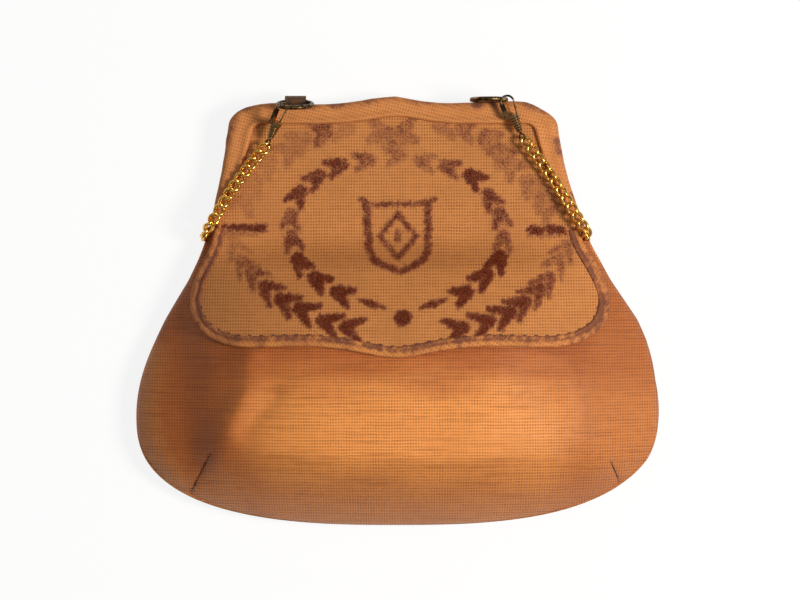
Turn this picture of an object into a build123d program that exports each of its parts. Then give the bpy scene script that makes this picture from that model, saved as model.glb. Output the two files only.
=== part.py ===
from build123d import *
import math
import os

os.makedirs("parts", exist_ok=True)

# A framed evening purse lying on its back, in millimetres.
# X runs across the bag, Y runs from its base to its frame, Z runs out of its face.

# Outline of the bag
BELLY_HALF_WIDTH = 130.0
BELLY_Y = -53.0
BASE_Y = -107.0
BASE_ROUNDNESS = 2.5
NECK_HALF_WIDTH = 95.5
HIP_CURVE = 1.2
HINGE_Y = 37.0
SHOULDER_HALF_WIDTH = 82.0
SHOULDER_Y = 91.0
SHOULDER_CURVE = 1.6
FRAME_TOP_Y = 102.5
PEAK_HEIGHT = 3.5
PEAK_WIDTH = 17.0
TOP_CORNER_POWER = 6.0

# Frame bands, seen from the front
ARM_END_Y = 42.5
ARM_TIP_WIDTH = 4.2
BAND_TOP_WIDTH = 9.6
BAND_CORNER_WIDTH = 12.5
WINDOW_CORNER_RADIUS = 5.0
STRIP_INSET = 1.3

# Depths through the frame
BACK_COVER_BOTTOM = 4.0
HINGE_Z = 11.2
PARTING_GAP = 0.4
STRIP_THICKNESS = 2.2
FRONT_COVER_DEPTH = 6.6
COVER_ROUNDING = 1.8
BOARD_THICKNESS = 1.0
FRONT_BOARD_THICKNESS = 2.2
FRONT_BOARD_LOW_EDGE = 13.0

# Cloth pouch
CLOTH = 1.6
BELLY_DEPTH = 42.0
DEPTH_CURVE = 3.0
NECK_FALL = 1.4
NECK_FALL_POWER = 1.2
BACK_FLATNESS = 7.0
BACK_LIFT_Y = 5.0
POUCH_TOP_Y = 43.0
NECK_LAP = 1.0
PANEL_GAP = 0.1
SEAM_Z = 10.0
DART_DEPTH = 0.6
DART_WIDTH = 1.2
DART_TOP_X = 97.0
DART_TOP_Y = -66.0
DART_LOW_X = 107.0
DART_LOW_Y = -87.0
LINING = 0.8
LINING_GAP = 0.2
LINING_INSET = 5.0
LINING_TOP_Y = 30.0

# Apron flap
FLAP_THICKNESS = 2.0
FLAP_SEAT_GAP = 0.1
FLAP_LOW_GAP = 0.3
APRON_TOP_Y = 34.0
APRON_TOP_HALF_WIDTH = 92.5
APRON_HALF_WIDTH = 103.0
APRON_WIDE_Y = 9.0
APRON_CORNER_X = 86.0
APRON_CORNER_Y = -16.0
APRON_HEM_Y = -18.0
APRON_POINT_Y = -23.0
BINDING_WIDTH = 5.5
BINDING_PROUD = 0.9

# Pile ornament on the flap
PILE_HEIGHT = 0.4
PILE_EDGE_GAP = 0.4
WREATH_LEAF = 9.0
GARLAND_LEAF = 10.5
WORN_LEAF = 8.5
LEFT_WREATH = [(-1, 77), (-16.5, 74.5), (-30, 71.5), (-40.5, 65), (-49, 56.5), (-52.5, 44.5)]
LEFT_WREATH += [(-51.5, 34), (-47, 22.5), (-37.5, 14), (-26, 7.5), (-11.5, 3)]
RIGHT_WREATH = [(15, 74), (27.5, 71), (39.5, 65.5), (47.5, 55), (52, 45.5)]
RIGHT_WREATH += [(53, 34), (50, 23.5), (42, 15.5), (32, 7.5), (18, 3)]
LEFT_GARLAND = [(-80, 31), (-76, 22), (-70, 16.5), (-62.5, 9.5), (-53.5, 3.5), (-44, -1), (-32, -6.5), (-21, -9)]
RIGHT_GARLAND = [(83, 29.5), (78.5, 22.5), (72.5, 13.5), (67, 8), (59.5, 2), (51.5, -2.5), (41.5, -6.5)]
RIGHT_GARLAND += [(28.5, -9.5)]
LEFT_WORN = [(-9.5, 88), (-27, 88.5), (-37.5, 87), (-47.5, 83), (-54, 78), (-64, 71), (-71, 62), (-76, 52.5)]
RIGHT_WORN = [(9.5, 88), (25, 88.5), (36, 87.5), (47, 83.5), (53.5, 78), (59, 71), (67, 62), (73, 55)]
SHIELD_CENTRE = (0.0, 38.0)
SHIELD_HALF = 17.5
SHIELD_RIM = 0.15
KNOT_RADIUS = 4.2
KNOT_PLACE = (3.5, -3.9)

# Frame hinge at each arm
EAR_RADIUS = 2.5
EAR_THICKNESS = 1.2
EAR_INNER_X = 88.6
EAR_GAP = 0.1
EAR_LUG_LENGTH = 10.0
RIVET_RADIUS = 0.9
RIVET_HEAD_RADIUS = 1.7
RIVET_HEAD = 0.6
RUNNING_GAP = 0.05
NOTCH_GAP = 0.8
NOTCH_REACH = 20.0
NOTCH_DEPTH = 40.0

# Catch at the middle of the frame
CATCH_Y = 100.9
STUD_RADIUS = 2.0
STUD_LENGTH = 3.2
STUD_ROUNDING = 0.8
CATCH_GAP = 0.2
SOCKET_WALL = 0.4
SOCKET_FLOOR = 0.6

# Handle rings and the tabs that hold them
RING_RADIUS = 8.55
RING_WIRE = 1.1
RING_SLACK = 0.35
TAB_HALF_WIDTH = 5.25
TAB_LEATHER = 0.6
TAB_TAIL = 1.4
TAB_TAIL_LOW_Y = 95.0
LEFT_TAB_X = -50.25
RIGHT_TAB_X = 46.25
LEFT_TAB_Y = 104.2
RIGHT_TAB_Y = 104.7
LEFT_RING_LEAN = 14.0
RIGHT_RING_LEAN = 0.0

# Snap clips
HOOK_RADIUS = 3.3
HOOK_WIRE = 0.55
HOOK_CENTRE = 1.4
LEG_WIDTH = 2.4
LEG_THICKNESS = 1.4
COLLAR_START = 8.4
COLLAR_LENGTH = 1.4
COLLAR_RADIUS = 3.0
BARREL_END = 17.6
BARREL_TOP_RADIUS = 2.7
BARREL_END_RADIUS = 1.5
RIB_COUNT = 6
RIB_DEPTH = 0.3
GATE_WIRE = 0.4
GATE_PIVOT_X = 2.1
GATE_HUB_RADIUS = 0.85
GATE_HUB_THICKNESS = 0.8
GATE_TIP_GAP = 0.15
LEG_SHIFT = 0.3
SLOT_WIDTH = 3.0
SLOT_SHIFT = 0.5
SLOT_END_GAP = 0.3
PIN_RADIUS = 0.35
PIN_HALF_LENGTH = 1.9
STEM_RADIUS = 0.6
STEM_HEAD_RADIUS = 0.95
STEM_HEAD_START = 14.9
STEM_HEAD_LENGTH = 1.0
EYE_RADIUS = 1.65
EYE_WIRE = 0.45
EYE_NECK = 0.45
LEFT_CLIP_SIDE = 45.0
RIGHT_CLIP_SIDE = 90.0
LEFT_CLIP_AIM = (-63.3, 83.9, 21.6)
RIGHT_CLIP_AIM = (62.6, 86.9, 20.9)

# Curb chain
LINK_PITCH = 4.7
LINK_WIDTH = 5.5
LINK_WIRE = 1.2
LINK_SLACK = 1.25
LINK_TWIST = 45.0
LINK_STEPS = 10
LINK_FACET_GROWTH = 1.1
CHAIN_FLOOR_Z = 2.2
CHAIN_REST = 2.65
CHAIN_ARCH_Y = 78.0
CHAIN_EDGE_GAP = 0.1
CHAIN_OVER_ARM = [(12.5, 58.0, 0.0), (3.0, 42.5, 0.3), (0.2, 38.2, 4.0)]
CHAIN_TURN = (0.9, 38.2, 5.0)
CHAIN_BEHIND = [(6.5, 43.0), (21.5, 54.0), (50.5, 69.0)]

# Plans are drawn as tall prisms that reach past every cloth face
PLAN_DEPTH = 90.0

# Places that follow from the sizes above
BASE_DROP = BELLY_Y - BASE_Y
CHAIN_SIDE_X = NECK_HALF_WIDTH - CHAIN_EDGE_GAP
PARTING_FRONT = HINGE_Z + PARTING_GAP / 2
PARTING_BACK = HINGE_Z - PARTING_GAP / 2
FRONT_COVER_TOP = PARTING_FRONT + FRONT_COVER_DEPTH
FRONT_BOARD_TOP = PARTING_FRONT + FRONT_BOARD_THICKNESS
FLAP_WINDOW_Z = FRONT_BOARD_TOP + FLAP_SEAT_GAP + FLAP_THICKNESS
FRONT_RIM = SEAM_Z + CLOTH + PANEL_GAP
BACK_RIM = SEAM_Z - CLOTH
TAB_BORE = RING_RADIUS - math.sqrt(RING_RADIUS**2 - TAB_HALF_WIDTH**2)
TAB_BORE_RADIUS = TAB_BORE / 2 + RING_WIRE + RING_SLACK
RING_ARM = RING_RADIUS - TAB_BORE / 2
TAB_Z = PARTING_FRONT + STRIP_THICKNESS + TAB_TAIL / 2
LINK_HALF_LENGTH = (LINK_PITCH + LINK_SLACK * LINK_WIRE) / 2
LINK_HALF_WIDTH = (LINK_WIDTH - LINK_WIRE) / 2
EYE_CENTRE = BARREL_END + EYE_RADIUS + EYE_WIRE + EYE_NECK
CHAIN_START = EYE_CENTRE + EYE_RADIUS - LINK_SLACK * (LINK_WIRE / 2 + EYE_WIRE)
CHAIN_START += LINK_HALF_LENGTH - LINK_PITCH / 2


def clamp(value, low=0.0, high=1.0):
    return max(low, min(high, value))


def half_width(y):
    """Half the bag's width at a height, down to the belly line."""
    if y >= HINGE_Y:
        rise = clamp((y - HINGE_Y) / (SHOULDER_Y - HINGE_Y))
        return SHOULDER_HALF_WIDTH + (NECK_HALF_WIDTH - SHOULDER_HALF_WIDTH) * (1 - rise) ** SHOULDER_CURVE
    fall = clamp((HINGE_Y - y) / (HINGE_Y - BELLY_Y))
    return NECK_HALF_WIDTH + (BELLY_HALF_WIDTH - NECK_HALF_WIDTH) * math.sin(math.pi / 2 * fall**HIP_CURVE)


def edge_share(x, y):
    """0 at the bag's middle line and 1 on its outline."""
    if y >= BELLY_Y:
        return abs(x) / half_width(y)
    side = (abs(x) / BELLY_HALF_WIDTH) ** BASE_ROUNDNESS
    drop = ((BELLY_Y - y) / BASE_DROP) ** BASE_ROUNDNESS
    return (side + drop) ** (1 / BASE_ROUNDNESS)


def front_fullness(y):
    """How far the front stands out at a height, as a share of the belly's depth."""
    if y <= BELLY_Y:
        return 1.0
    rise = clamp((y - BELLY_Y) / (POUCH_TOP_Y - BELLY_Y)) ** NECK_FALL
    return max(0.0, math.cos(math.pi / 2 * rise)) ** NECK_FALL_POWER


def steepened(share, power):
    """A power of the share that runs on straight past the outline, so that the faces stay smooth."""
    return share**power if share <= 1 else 1 + power * (share - 1)


def front_swell(x, y):
    return BELLY_DEPTH * front_fullness(y) * (1 - steepened(edge_share(x, y), DEPTH_CURVE))


def front_height(x, y):
    """Outer face of the front cloth."""
    return FRONT_RIM + front_swell(x, y)


def back_height(x, y):
    """Outer face of the back cloth, which lies flat but for its rim and neck."""
    lift = clamp((y - BACK_LIFT_Y) / (POUCH_TOP_Y - BACK_LIFT_Y))
    flatness = 1 - steepened(edge_share(x, y), BACK_FLATNESS)
    return BACK_RIM * (1 - flatness * math.cos(math.pi / 2 * lift) ** 2)


def flap_height(x, y):
    """Outer face of the apron flap: flat in the frame, then resting on the front cloth."""
    low = FRONT_RIM + FLAP_LOW_GAP + FLAP_THICKNESS
    share = clamp((y - APRON_WIDE_Y) / (POUCH_TOP_Y - APRON_WIDE_Y))
    ease = share * share * (3 - 2 * share)
    return low + (FLAP_WINDOW_Z - low) * ease + front_swell(x, y)


def frame_top(x):
    """Top edge of the frame, with its low middle peak."""
    corner = (1 - clamp(abs(x) / SHOULDER_HALF_WIDTH) ** TOP_CORNER_POWER) ** 0.4
    return SHOULDER_Y + (FRAME_TOP_Y - SHOULDER_Y) * corner + PEAK_HEIGHT * math.exp(-((x / PEAK_WIDTH) ** 2))


def window_side(y):
    """Half the width of the opening inside the frame band."""
    rise = max(0.0, y - ARM_END_Y) / (SHOULDER_Y - ARM_END_Y)
    return half_width(y) - (ARM_TIP_WIDTH + (BAND_CORNER_WIDTH - ARM_TIP_WIDTH) * rise**0.8)


def mirrored(points):
    return points + [(-x, y) for x, y in reversed(points) if x > 0.01]


def outer_points(inset, low_y):
    """Right and left sides and top of the frame, as one line from the right arm to the left arm."""
    sides = [low_y + (SHOULDER_Y - low_y) * k / 5 for k in range(6)]
    points = [(half_width(y) - inset, y) for y in sides]
    tops = [0.97, 0.91, 0.80, 0.62, 0.42, 0.26, 0.13, 0.0]
    points += [(SHOULDER_HALF_WIDTH * t - inset * t, frame_top(SHOULDER_HALF_WIDTH * t) - inset) for t in tops]
    return mirrored(points)


def window_points(grow, low_y):
    """Edge of the opening inside the band, from the right arm over the top to the left arm."""
    corner_y = FRAME_TOP_Y - BAND_TOP_WIDTH
    sides = [low_y + (corner_y - WINDOW_CORNER_RADIUS - low_y) * k / 4 for k in range(5)]
    points = [(window_side(y) + grow, y) for y in sides]
    corner_x = window_side(corner_y)
    bend = WINDOW_CORNER_RADIUS * 0.35
    points.append((corner_x - bend + grow, corner_y - bend + grow))
    for t in (0.82, 0.6, 0.4, 0.25, 0.12, 0.0):
        x = corner_x * t
        peak = PEAK_HEIGHT * math.exp(-((x / PEAK_WIDTH) ** 2))
        points.append((x, corner_y + peak + grow))
    return mirrored(points)


def closed_face(points):
    """A face inside a smooth line through the points, closed by a straight edge."""
    line = Spline(*points)
    return make_face([line, Line(points[-1], points[0])])


def slab_prism(face, low, high):
    return extrude(Pos(0, 0, low) * face, amount=high - low, dir=(0, 0, 1))


def band_face(inset):
    low = ARM_END_Y + inset
    outer = closed_face(outer_points(inset, low))
    window = closed_face(window_points(inset, low - 0.001))
    return outer - window


def pouch_points(inset, top_y):
    sides = [top_y + (BELLY_Y - top_y) * k / 6 for k in range(7)]
    points = [(half_width(y) - inset, y) for y in sides]
    for angle in (15, 30, 45, 58, 70, 80, 90):
        bend = 2 / BASE_ROUNDNESS
        x = (BELLY_HALF_WIDTH - inset) * max(0.0, math.cos(math.radians(angle))) ** bend
        y = BELLY_Y - (BASE_DROP - inset) * math.sin(math.radians(angle)) ** bend
        points.append((x if angle < 90 else 0.0, y))
    return mirrored(points)


def cloth_face(height, low_y, high_y, lift=0.0):
    """A smooth face that follows a height over the plan."""
    columns = 44
    rows = max(12, round((high_y - low_y) / 4))
    reach = BELLY_HALF_WIDTH + 2
    grid = []
    for j in range(rows + 1):
        y = low_y + (high_y - low_y) * j / rows
        xs = [-reach + 2 * reach * k / columns for k in range(columns + 1)]
        grid.append([Vector(x, y, height(x, y) + lift) for x in xs])
    return Face.make_surface_from_array_of_points(grid, tol=0.02, min_deg=3, max_deg=3)


def hanging(face, depth):
    """The space under a face, straight down to a depth."""
    return Solid.extrude(face, Vector(0, 0, -depth))


def save(shape, name):
    solids = shape.solids()
    body = solids[0] if len(solids) == 1 else Compound(children=list(solids))
    body.label = name
    export_step(body, "parts/" + name + ".step")
    print(name, len(solids), "solids", round(sum(s.volume for s in solids)), "mm3")


front_cloth = cloth_face(front_height, BASE_Y - 3, POUCH_TOP_Y + 3)
back_cloth = cloth_face(back_height, BASE_Y - 3, POUCH_TOP_Y + 3)
flap_cloth = cloth_face(flap_height, APRON_POINT_Y - 8, FRAME_TOP_Y + 6)


def hinge_notches():
    """Room at both sides of the pouch for the hinge ears and the chain."""
    inner_x = EAR_INNER_X - NOTCH_GAP
    low_y = HINGE_Y - EAR_RADIUS - NOTCH_GAP
    notch = None
    for side in (1, -1):
        middle = Pos(side * (inner_x + NOTCH_REACH / 2), low_y + NOTCH_REACH / 2, SEAM_Z)
        block = middle * Box(NOTCH_REACH, NOTCH_REACH, NOTCH_DEPTH)
        notch = block if notch is None else notch + block
    return notch


def pouch_front():
    """Front cloth, from the base seam to the hinge line, with a sewn dart at each lower corner."""
    plan = slab_prism(closed_face(pouch_points(0, POUCH_TOP_Y)), -PLAN_DEPTH, PLAN_DEPTH)
    cloth = hanging(front_cloth, CLOTH) & plan
    run = math.hypot(DART_LOW_X - DART_TOP_X, DART_LOW_Y - DART_TOP_Y)
    turn = math.degrees(math.atan2(DART_LOW_Y - DART_TOP_Y, DART_LOW_X - DART_TOP_X))
    for side in (1, -1):
        x = side * (DART_TOP_X + DART_LOW_X) / 2
        spot = Pos(x, (DART_TOP_Y + DART_LOW_Y) / 2, SEAM_Z + BELLY_DEPTH / 2)
        strip = spot * Rot(0, 0, side * turn) * Box(run, DART_WIDTH, BELLY_DEPTH * 2)
        cloth -= hanging(front_cloth, DART_DEPTH) & strip
    return cloth - hinge_notches()


def pouch_back():
    """Back cloth in one piece, from the base seam up into the back frame."""
    plan = slab_prism(closed_face(pouch_points(0, POUCH_TOP_Y)), -PLAN_DEPTH, PLAN_DEPTH)
    cloth = (hanging(Pos(0, 0, CLOTH) * back_cloth, CLOTH) & plan) - hinge_notches()
    neck = closed_face(window_points(-PANEL_GAP, POUCH_TOP_Y - NECK_LAP))
    return cloth + slab_prism(neck, BACK_RIM - PANEL_GAP, SEAM_Z - PANEL_GAP / 2)


def lining():
    """Sewn bag lining, open at its mouth."""
    gap = LINING_GAP + CLOTH
    outer_line = pouch_points(LINING_INSET, LINING_TOP_Y)
    inner_line = pouch_points(LINING_INSET + LINING, LINING_TOP_Y + 1)
    outer_plan = slab_prism(closed_face(outer_line), -PLAN_DEPTH, PLAN_DEPTH)
    inner_plan = slab_prism(closed_face(inner_line), -PLAN_DEPTH, PLAN_DEPTH)
    outer = hanging(Pos(0, 0, -gap) * front_cloth, PLAN_DEPTH) & outer_plan
    outer -= hanging(Pos(0, 0, gap) * back_cloth, PLAN_DEPTH)
    inner = hanging(Pos(0, 0, -gap - LINING) * front_cloth, PLAN_DEPTH) & inner_plan
    inner -= hanging(Pos(0, 0, gap + LINING) * back_cloth, PLAN_DEPTH)
    return outer - inner


def tab_places():
    return ((LEFT_TAB_X, LEFT_TAB_Y, LEFT_RING_LEAN), (RIGHT_TAB_X, RIGHT_TAB_Y, RIGHT_RING_LEAN))


def along_x(radius, length):
    return Rot(0, 90, 0) * Cylinder(radius, length)


def ear(side, inner_x, hole, low_z, high_z):
    """A hinge ear with its lug up to the strip."""
    x = side * (inner_x + EAR_THICKNESS / 2)
    plate = Pos(x, HINGE_Y, HINGE_Z) * along_x(EAR_RADIUS, EAR_THICKNESS)
    mid_z = (low_z + high_z) / 2
    tall = high_z - low_z
    plate += Pos(x, HINGE_Y + EAR_LUG_LENGTH / 2, mid_z) * Box(EAR_THICKNESS, EAR_LUG_LENGTH, tall)
    return plate - Pos(x, HINGE_Y, HINGE_Z) * along_x(hole, EAR_THICKNESS * 3)


def frame_strip(low_z, high_z, ear_x, hole):
    """Stamped metal strip bent round the frame, with an ear at each arm."""
    strip = slab_prism(band_face(STRIP_INSET), low_z, high_z)
    for side in (1, -1):
        strip += ear(side, ear_x, hole, low_z, high_z)
    return strip


def front_frame():
    low = PARTING_FRONT
    return frame_strip(low, low + STRIP_THICKNESS, EAR_INNER_X, RIVET_RADIUS + RUNNING_GAP)


def back_frame():
    high = PARTING_BACK
    strip = frame_strip(high - STRIP_THICKNESS, high, EAR_INNER_X + EAR_THICKNESS + EAR_GAP, RIVET_RADIUS)
    return strip - Pos(0, CATCH_Y, high) * Cylinder(socket_radius(), STRIP_THICKNESS * 3)


def padded_cover(low, high, rounded_z):
    """Padded cloth band with its show face rounded."""
    cover = slab_prism(band_face(0), low, high)
    edges = cover.edges().filter_by(lambda e: abs(e.center().Z - rounded_z) < 0.01)
    return fillet(edges, COVER_ROUNDING)


def front_frame_cover(strip):
    cover = padded_cover(PARTING_FRONT, FRONT_COVER_TOP, FRONT_COVER_TOP) - strip
    for x, y, lean in tab_places():
        cover -= Pos(x, y, TAB_Z) * along_x(TAB_BORE_RADIUS + TAB_LEATHER, TAB_HALF_WIDTH * 2)
        tail_y = (y + TAB_TAIL_LOW_Y) / 2
        cover -= Pos(x, tail_y, TAB_Z) * Box(TAB_HALF_WIDTH * 2, y - TAB_TAIL_LOW_Y, TAB_TAIL)
    return cover


def back_frame_cover(strip):
    cover = padded_cover(BACK_COVER_BOTTOM, PARTING_BACK, BACK_COVER_BOTTOM) - strip
    depth = STUD_LENGTH + CATCH_GAP + SOCKET_FLOOR
    pocket = Pos(0, CATCH_Y, PARTING_BACK - depth / 2) * Cylinder(socket_radius(), depth)
    return cover - pocket


def front_board():
    low = closed_face(window_points(-PANEL_GAP, HINGE_Y + FRONT_BOARD_LOW_EDGE))
    return slab_prism(low, PARTING_FRONT, FRONT_BOARD_TOP)


def back_board():
    face = closed_face(window_points(-PANEL_GAP, POUCH_TOP_Y + 2 * PANEL_GAP))
    return slab_prism(face, PARTING_BACK - BOARD_THICKNESS, PARTING_BACK)


def hinge_rivet(side):
    start = EAR_INNER_X
    end = EAR_INNER_X + EAR_THICKNESS * 2 + EAR_GAP
    length = end - start + RUNNING_GAP * 2
    middle = side * (start + end) / 2
    rivet = Pos(middle, HINGE_Y, HINGE_Z) * along_x(RIVET_RADIUS, length)
    for face_x in (start - RUNNING_GAP - RIVET_HEAD / 2, end + RIVET_HEAD / 2):
        rivet += Pos(side * face_x, HINGE_Y, HINGE_Z) * along_x(RIVET_HEAD_RADIUS, RIVET_HEAD)
    return rivet


def socket_radius():
    return STUD_RADIUS + CATCH_GAP + SOCKET_WALL


def catch_stud():
    stud = Pos(0, CATCH_Y, PARTING_FRONT - STUD_LENGTH / 2) * Cylinder(STUD_RADIUS, STUD_LENGTH)
    low = stud.edges().filter_by(lambda e: e.center().Z < PARTING_FRONT - STUD_LENGTH + 0.01)
    return fillet(low, STUD_ROUNDING)


def catch_socket():
    depth = STUD_LENGTH + CATCH_GAP + SOCKET_FLOOR
    cup = Pos(0, CATCH_Y, PARTING_BACK - depth / 2) * Cylinder(socket_radius(), depth)
    bore = depth - SOCKET_FLOOR
    return cup - Pos(0, CATCH_Y, PARTING_BACK - bore / 2) * Cylinder(STUD_RADIUS + CATCH_GAP, bore)


def apron_points(inset):
    """Edge of the flap below the frame, from its right top corner round to its left one."""
    points = [
        (APRON_TOP_HALF_WIDTH - inset, APRON_TOP_Y),
        ((APRON_TOP_HALF_WIDTH + APRON_HALF_WIDTH) / 2 - inset + 1, (APRON_TOP_Y + APRON_WIDE_Y) / 2),
        (APRON_HALF_WIDTH - inset, APRON_WIDE_Y),
        (APRON_HALF_WIDTH - 5 - inset * 0.9, APRON_CORNER_Y / 2 + inset * 0.25),
        (APRON_CORNER_X - inset * 0.5, APRON_CORNER_Y + inset * 0.85),
        (APRON_CORNER_X * 0.8, APRON_HEM_Y + inset),
        (APRON_CORNER_X * 0.5, APRON_HEM_Y + 0.5 + inset),
        (APRON_CORNER_X * 0.2, (APRON_HEM_Y + APRON_POINT_Y) / 2 + inset),
        (0, APRON_POINT_Y + inset),
    ]
    return mirrored(points)


def flap_plan(gap):
    """Tall prism over the flap: its part in the frame, and its apron inside the binding."""
    window = slab_prism(closed_face(window_points(-PANEL_GAP - gap, APRON_TOP_Y)), -PLAN_DEPTH, PLAN_DEPTH)
    apron = slab_prism(closed_face(apron_points(BINDING_WIDTH + gap)), -PLAN_DEPTH, PLAN_DEPTH)
    return window + apron


def flap():
    """Stiff cloth apron: held in the frame above, hanging over the pouch below."""
    return hanging(flap_cloth, FLAP_THICKNESS) & flap_plan(0)


def flap_binding():
    """Rolled cloth edge sewn round the apron."""
    outer = slab_prism(closed_face(apron_points(0)), -PLAN_DEPTH, PLAN_DEPTH)
    inner = slab_prism(closed_face(apron_points(BINDING_WIDTH)), -PLAN_DEPTH - 1, PLAN_DEPTH + 1)
    window = slab_prism(closed_face(window_points(0, APRON_TOP_Y - 2)), -PLAN_DEPTH - 1, PLAN_DEPTH + 1)
    roll = hanging(Pos(0, 0, BINDING_PROUD) * flap_cloth, FLAP_THICKNESS + BINDING_PROUD)
    return roll & (outer - inner - window)


def leaf_pair(x, y, turn, size):
    """Two leaves spread from one point of a stem, opening along the turn."""
    half = [(-0.5, 0.0), (-0.25, 0.34), (0.5, 0.52), (0.12, 0.1)]
    shape = half + [(px, -py) for px, py in reversed(half[1:])]
    spread = [Vector(px * size, py * size, 0) for px, py in shape]
    face = make_face(Polyline(*spread, close=True))
    return Pos(x, y, 0) * Rot(0, 0, turn) * face


def branch_leaves(places, size):
    """Leaf pairs along a branch, each opening towards the next one."""
    leaves = []
    last = len(places) - 1
    for k, (x, y) in enumerate(places):
        behind = places[max(k - 1, 0)]
        ahead = places[min(k + 1, last)]
        turn = math.degrees(math.atan2(ahead[1] - behind[1], ahead[0] - behind[0]))
        leaves.append(leaf_pair(x, y, turn, size))
    return leaves


def shield_faces():
    """A plain heater shield outline with a lozenge inside it."""
    cx, cy = SHIELD_CENTRE
    s = SHIELD_HALF
    small = 1 - SHIELD_RIM
    outline = [(-s, s), (0, s * 0.86), (s, s), (s * 0.94, -s * 0.45), (s * 0.5, -s * 0.92), (0, -s * 1.12)]
    outline += [(-s * 0.5, -s * 0.92), (-s * 0.94, -s * 0.45)]
    outer = make_face(Polyline(*[(cx + x, cy + y) for x, y in outline], close=True))
    inner = make_face(Polyline(*[(cx + x * small, cy + y * small) for x, y in outline], close=True))
    lozenge = [(0, s * 0.5), (s * 0.36, 0), (0, -s * 0.62), (-s * 0.36, 0)]
    mark = make_face(Polyline(*[(cx + x, cy + y) for x, y in lozenge], close=True))
    return [outer - inner, mark]


def flap_wreath():
    """Raised pile on the flap: a laurel wreath round a shield, an outer garland and worn top sprays."""
    faces = []
    for wreath in (LEFT_WREATH, RIGHT_WREATH):
        faces += branch_leaves(wreath, WREATH_LEAF)
    for garland in (LEFT_GARLAND, RIGHT_GARLAND):
        faces += branch_leaves(garland, GARLAND_LEAF)
    for worn in (LEFT_WORN, RIGHT_WORN):
        faces += branch_leaves(worn, WORN_LEAF)
    faces += shield_faces()
    faces.append(Pos(*KNOT_PLACE, 0) * make_face(Wire.make_circle(KNOT_RADIUS)))
    pile = hanging(Pos(0, 0, PILE_HEIGHT) * flap_cloth, PILE_HEIGHT) & flap_plan(PILE_EDGE_GAP)
    patches = []
    for face in faces:
        prism = extrude(face, amount=PLAN_DEPTH, dir=(0, 0, 1))
        patches += list((pile & prism).solids())
    return Compound(children=patches)


def ring_direction(lean):
    a = math.radians(lean)
    return Vector(0, -math.sin(a), math.cos(a))


def ring_centre(place):
    x, y, lean = place
    return Vector(x, y, TAB_Z) + ring_direction(lean) * RING_ARM


def handle_ring(place):
    """Wire ring threaded through its tab."""
    out = ring_direction(place[2])
    plane = Plane(origin=ring_centre(place), x_dir=(1, 0, 0), z_dir=Vector(1, 0, 0).cross(out))
    return plane.location * Torus(RING_RADIUS, RING_WIRE)


def ring_tab(place):
    """Leather strap folded round the ring, its tail laid on the strip under the cover."""
    x, y, lean = place
    fold = Pos(x, y, TAB_Z) * along_x(TAB_BORE_RADIUS + TAB_LEATHER, TAB_HALF_WIDTH * 2)
    tail_y = (y + TAB_TAIL_LOW_Y) / 2
    fold += Pos(x, tail_y, TAB_Z) * Box(TAB_HALF_WIDTH * 2, y - TAB_TAIL_LOW_Y, TAB_TAIL)
    return fold - Pos(x, y, TAB_Z) * along_x(TAB_BORE_RADIUS, TAB_HALF_WIDTH * 3)


def clip_plane(place, side_angle, side, aim):
    """Frame of a clip: its origin in the hook, Y along its barrel, Z across its hook."""
    a = math.radians(side_angle)
    out = ring_direction(place[2])
    across = Vector(side, 0, 0)
    hook = ring_centre(place) + across * (RING_RADIUS * math.sin(a)) + out * (RING_RADIUS * math.cos(a))
    along = (Vector(*aim) - hook).normalized()
    wire = out * math.sin(a) - across * math.cos(a)
    normal = (wire - along * wire.dot(along)).normalized() * -1
    return Plane(origin=hook, x_dir=along.cross(normal), z_dir=normal)


def along_y(radius, start, end, x=0.0):
    return Pos(x, (start + end) / 2, 0) * Rot(90, 0, 0) * Cylinder(radius, end - start)


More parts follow.
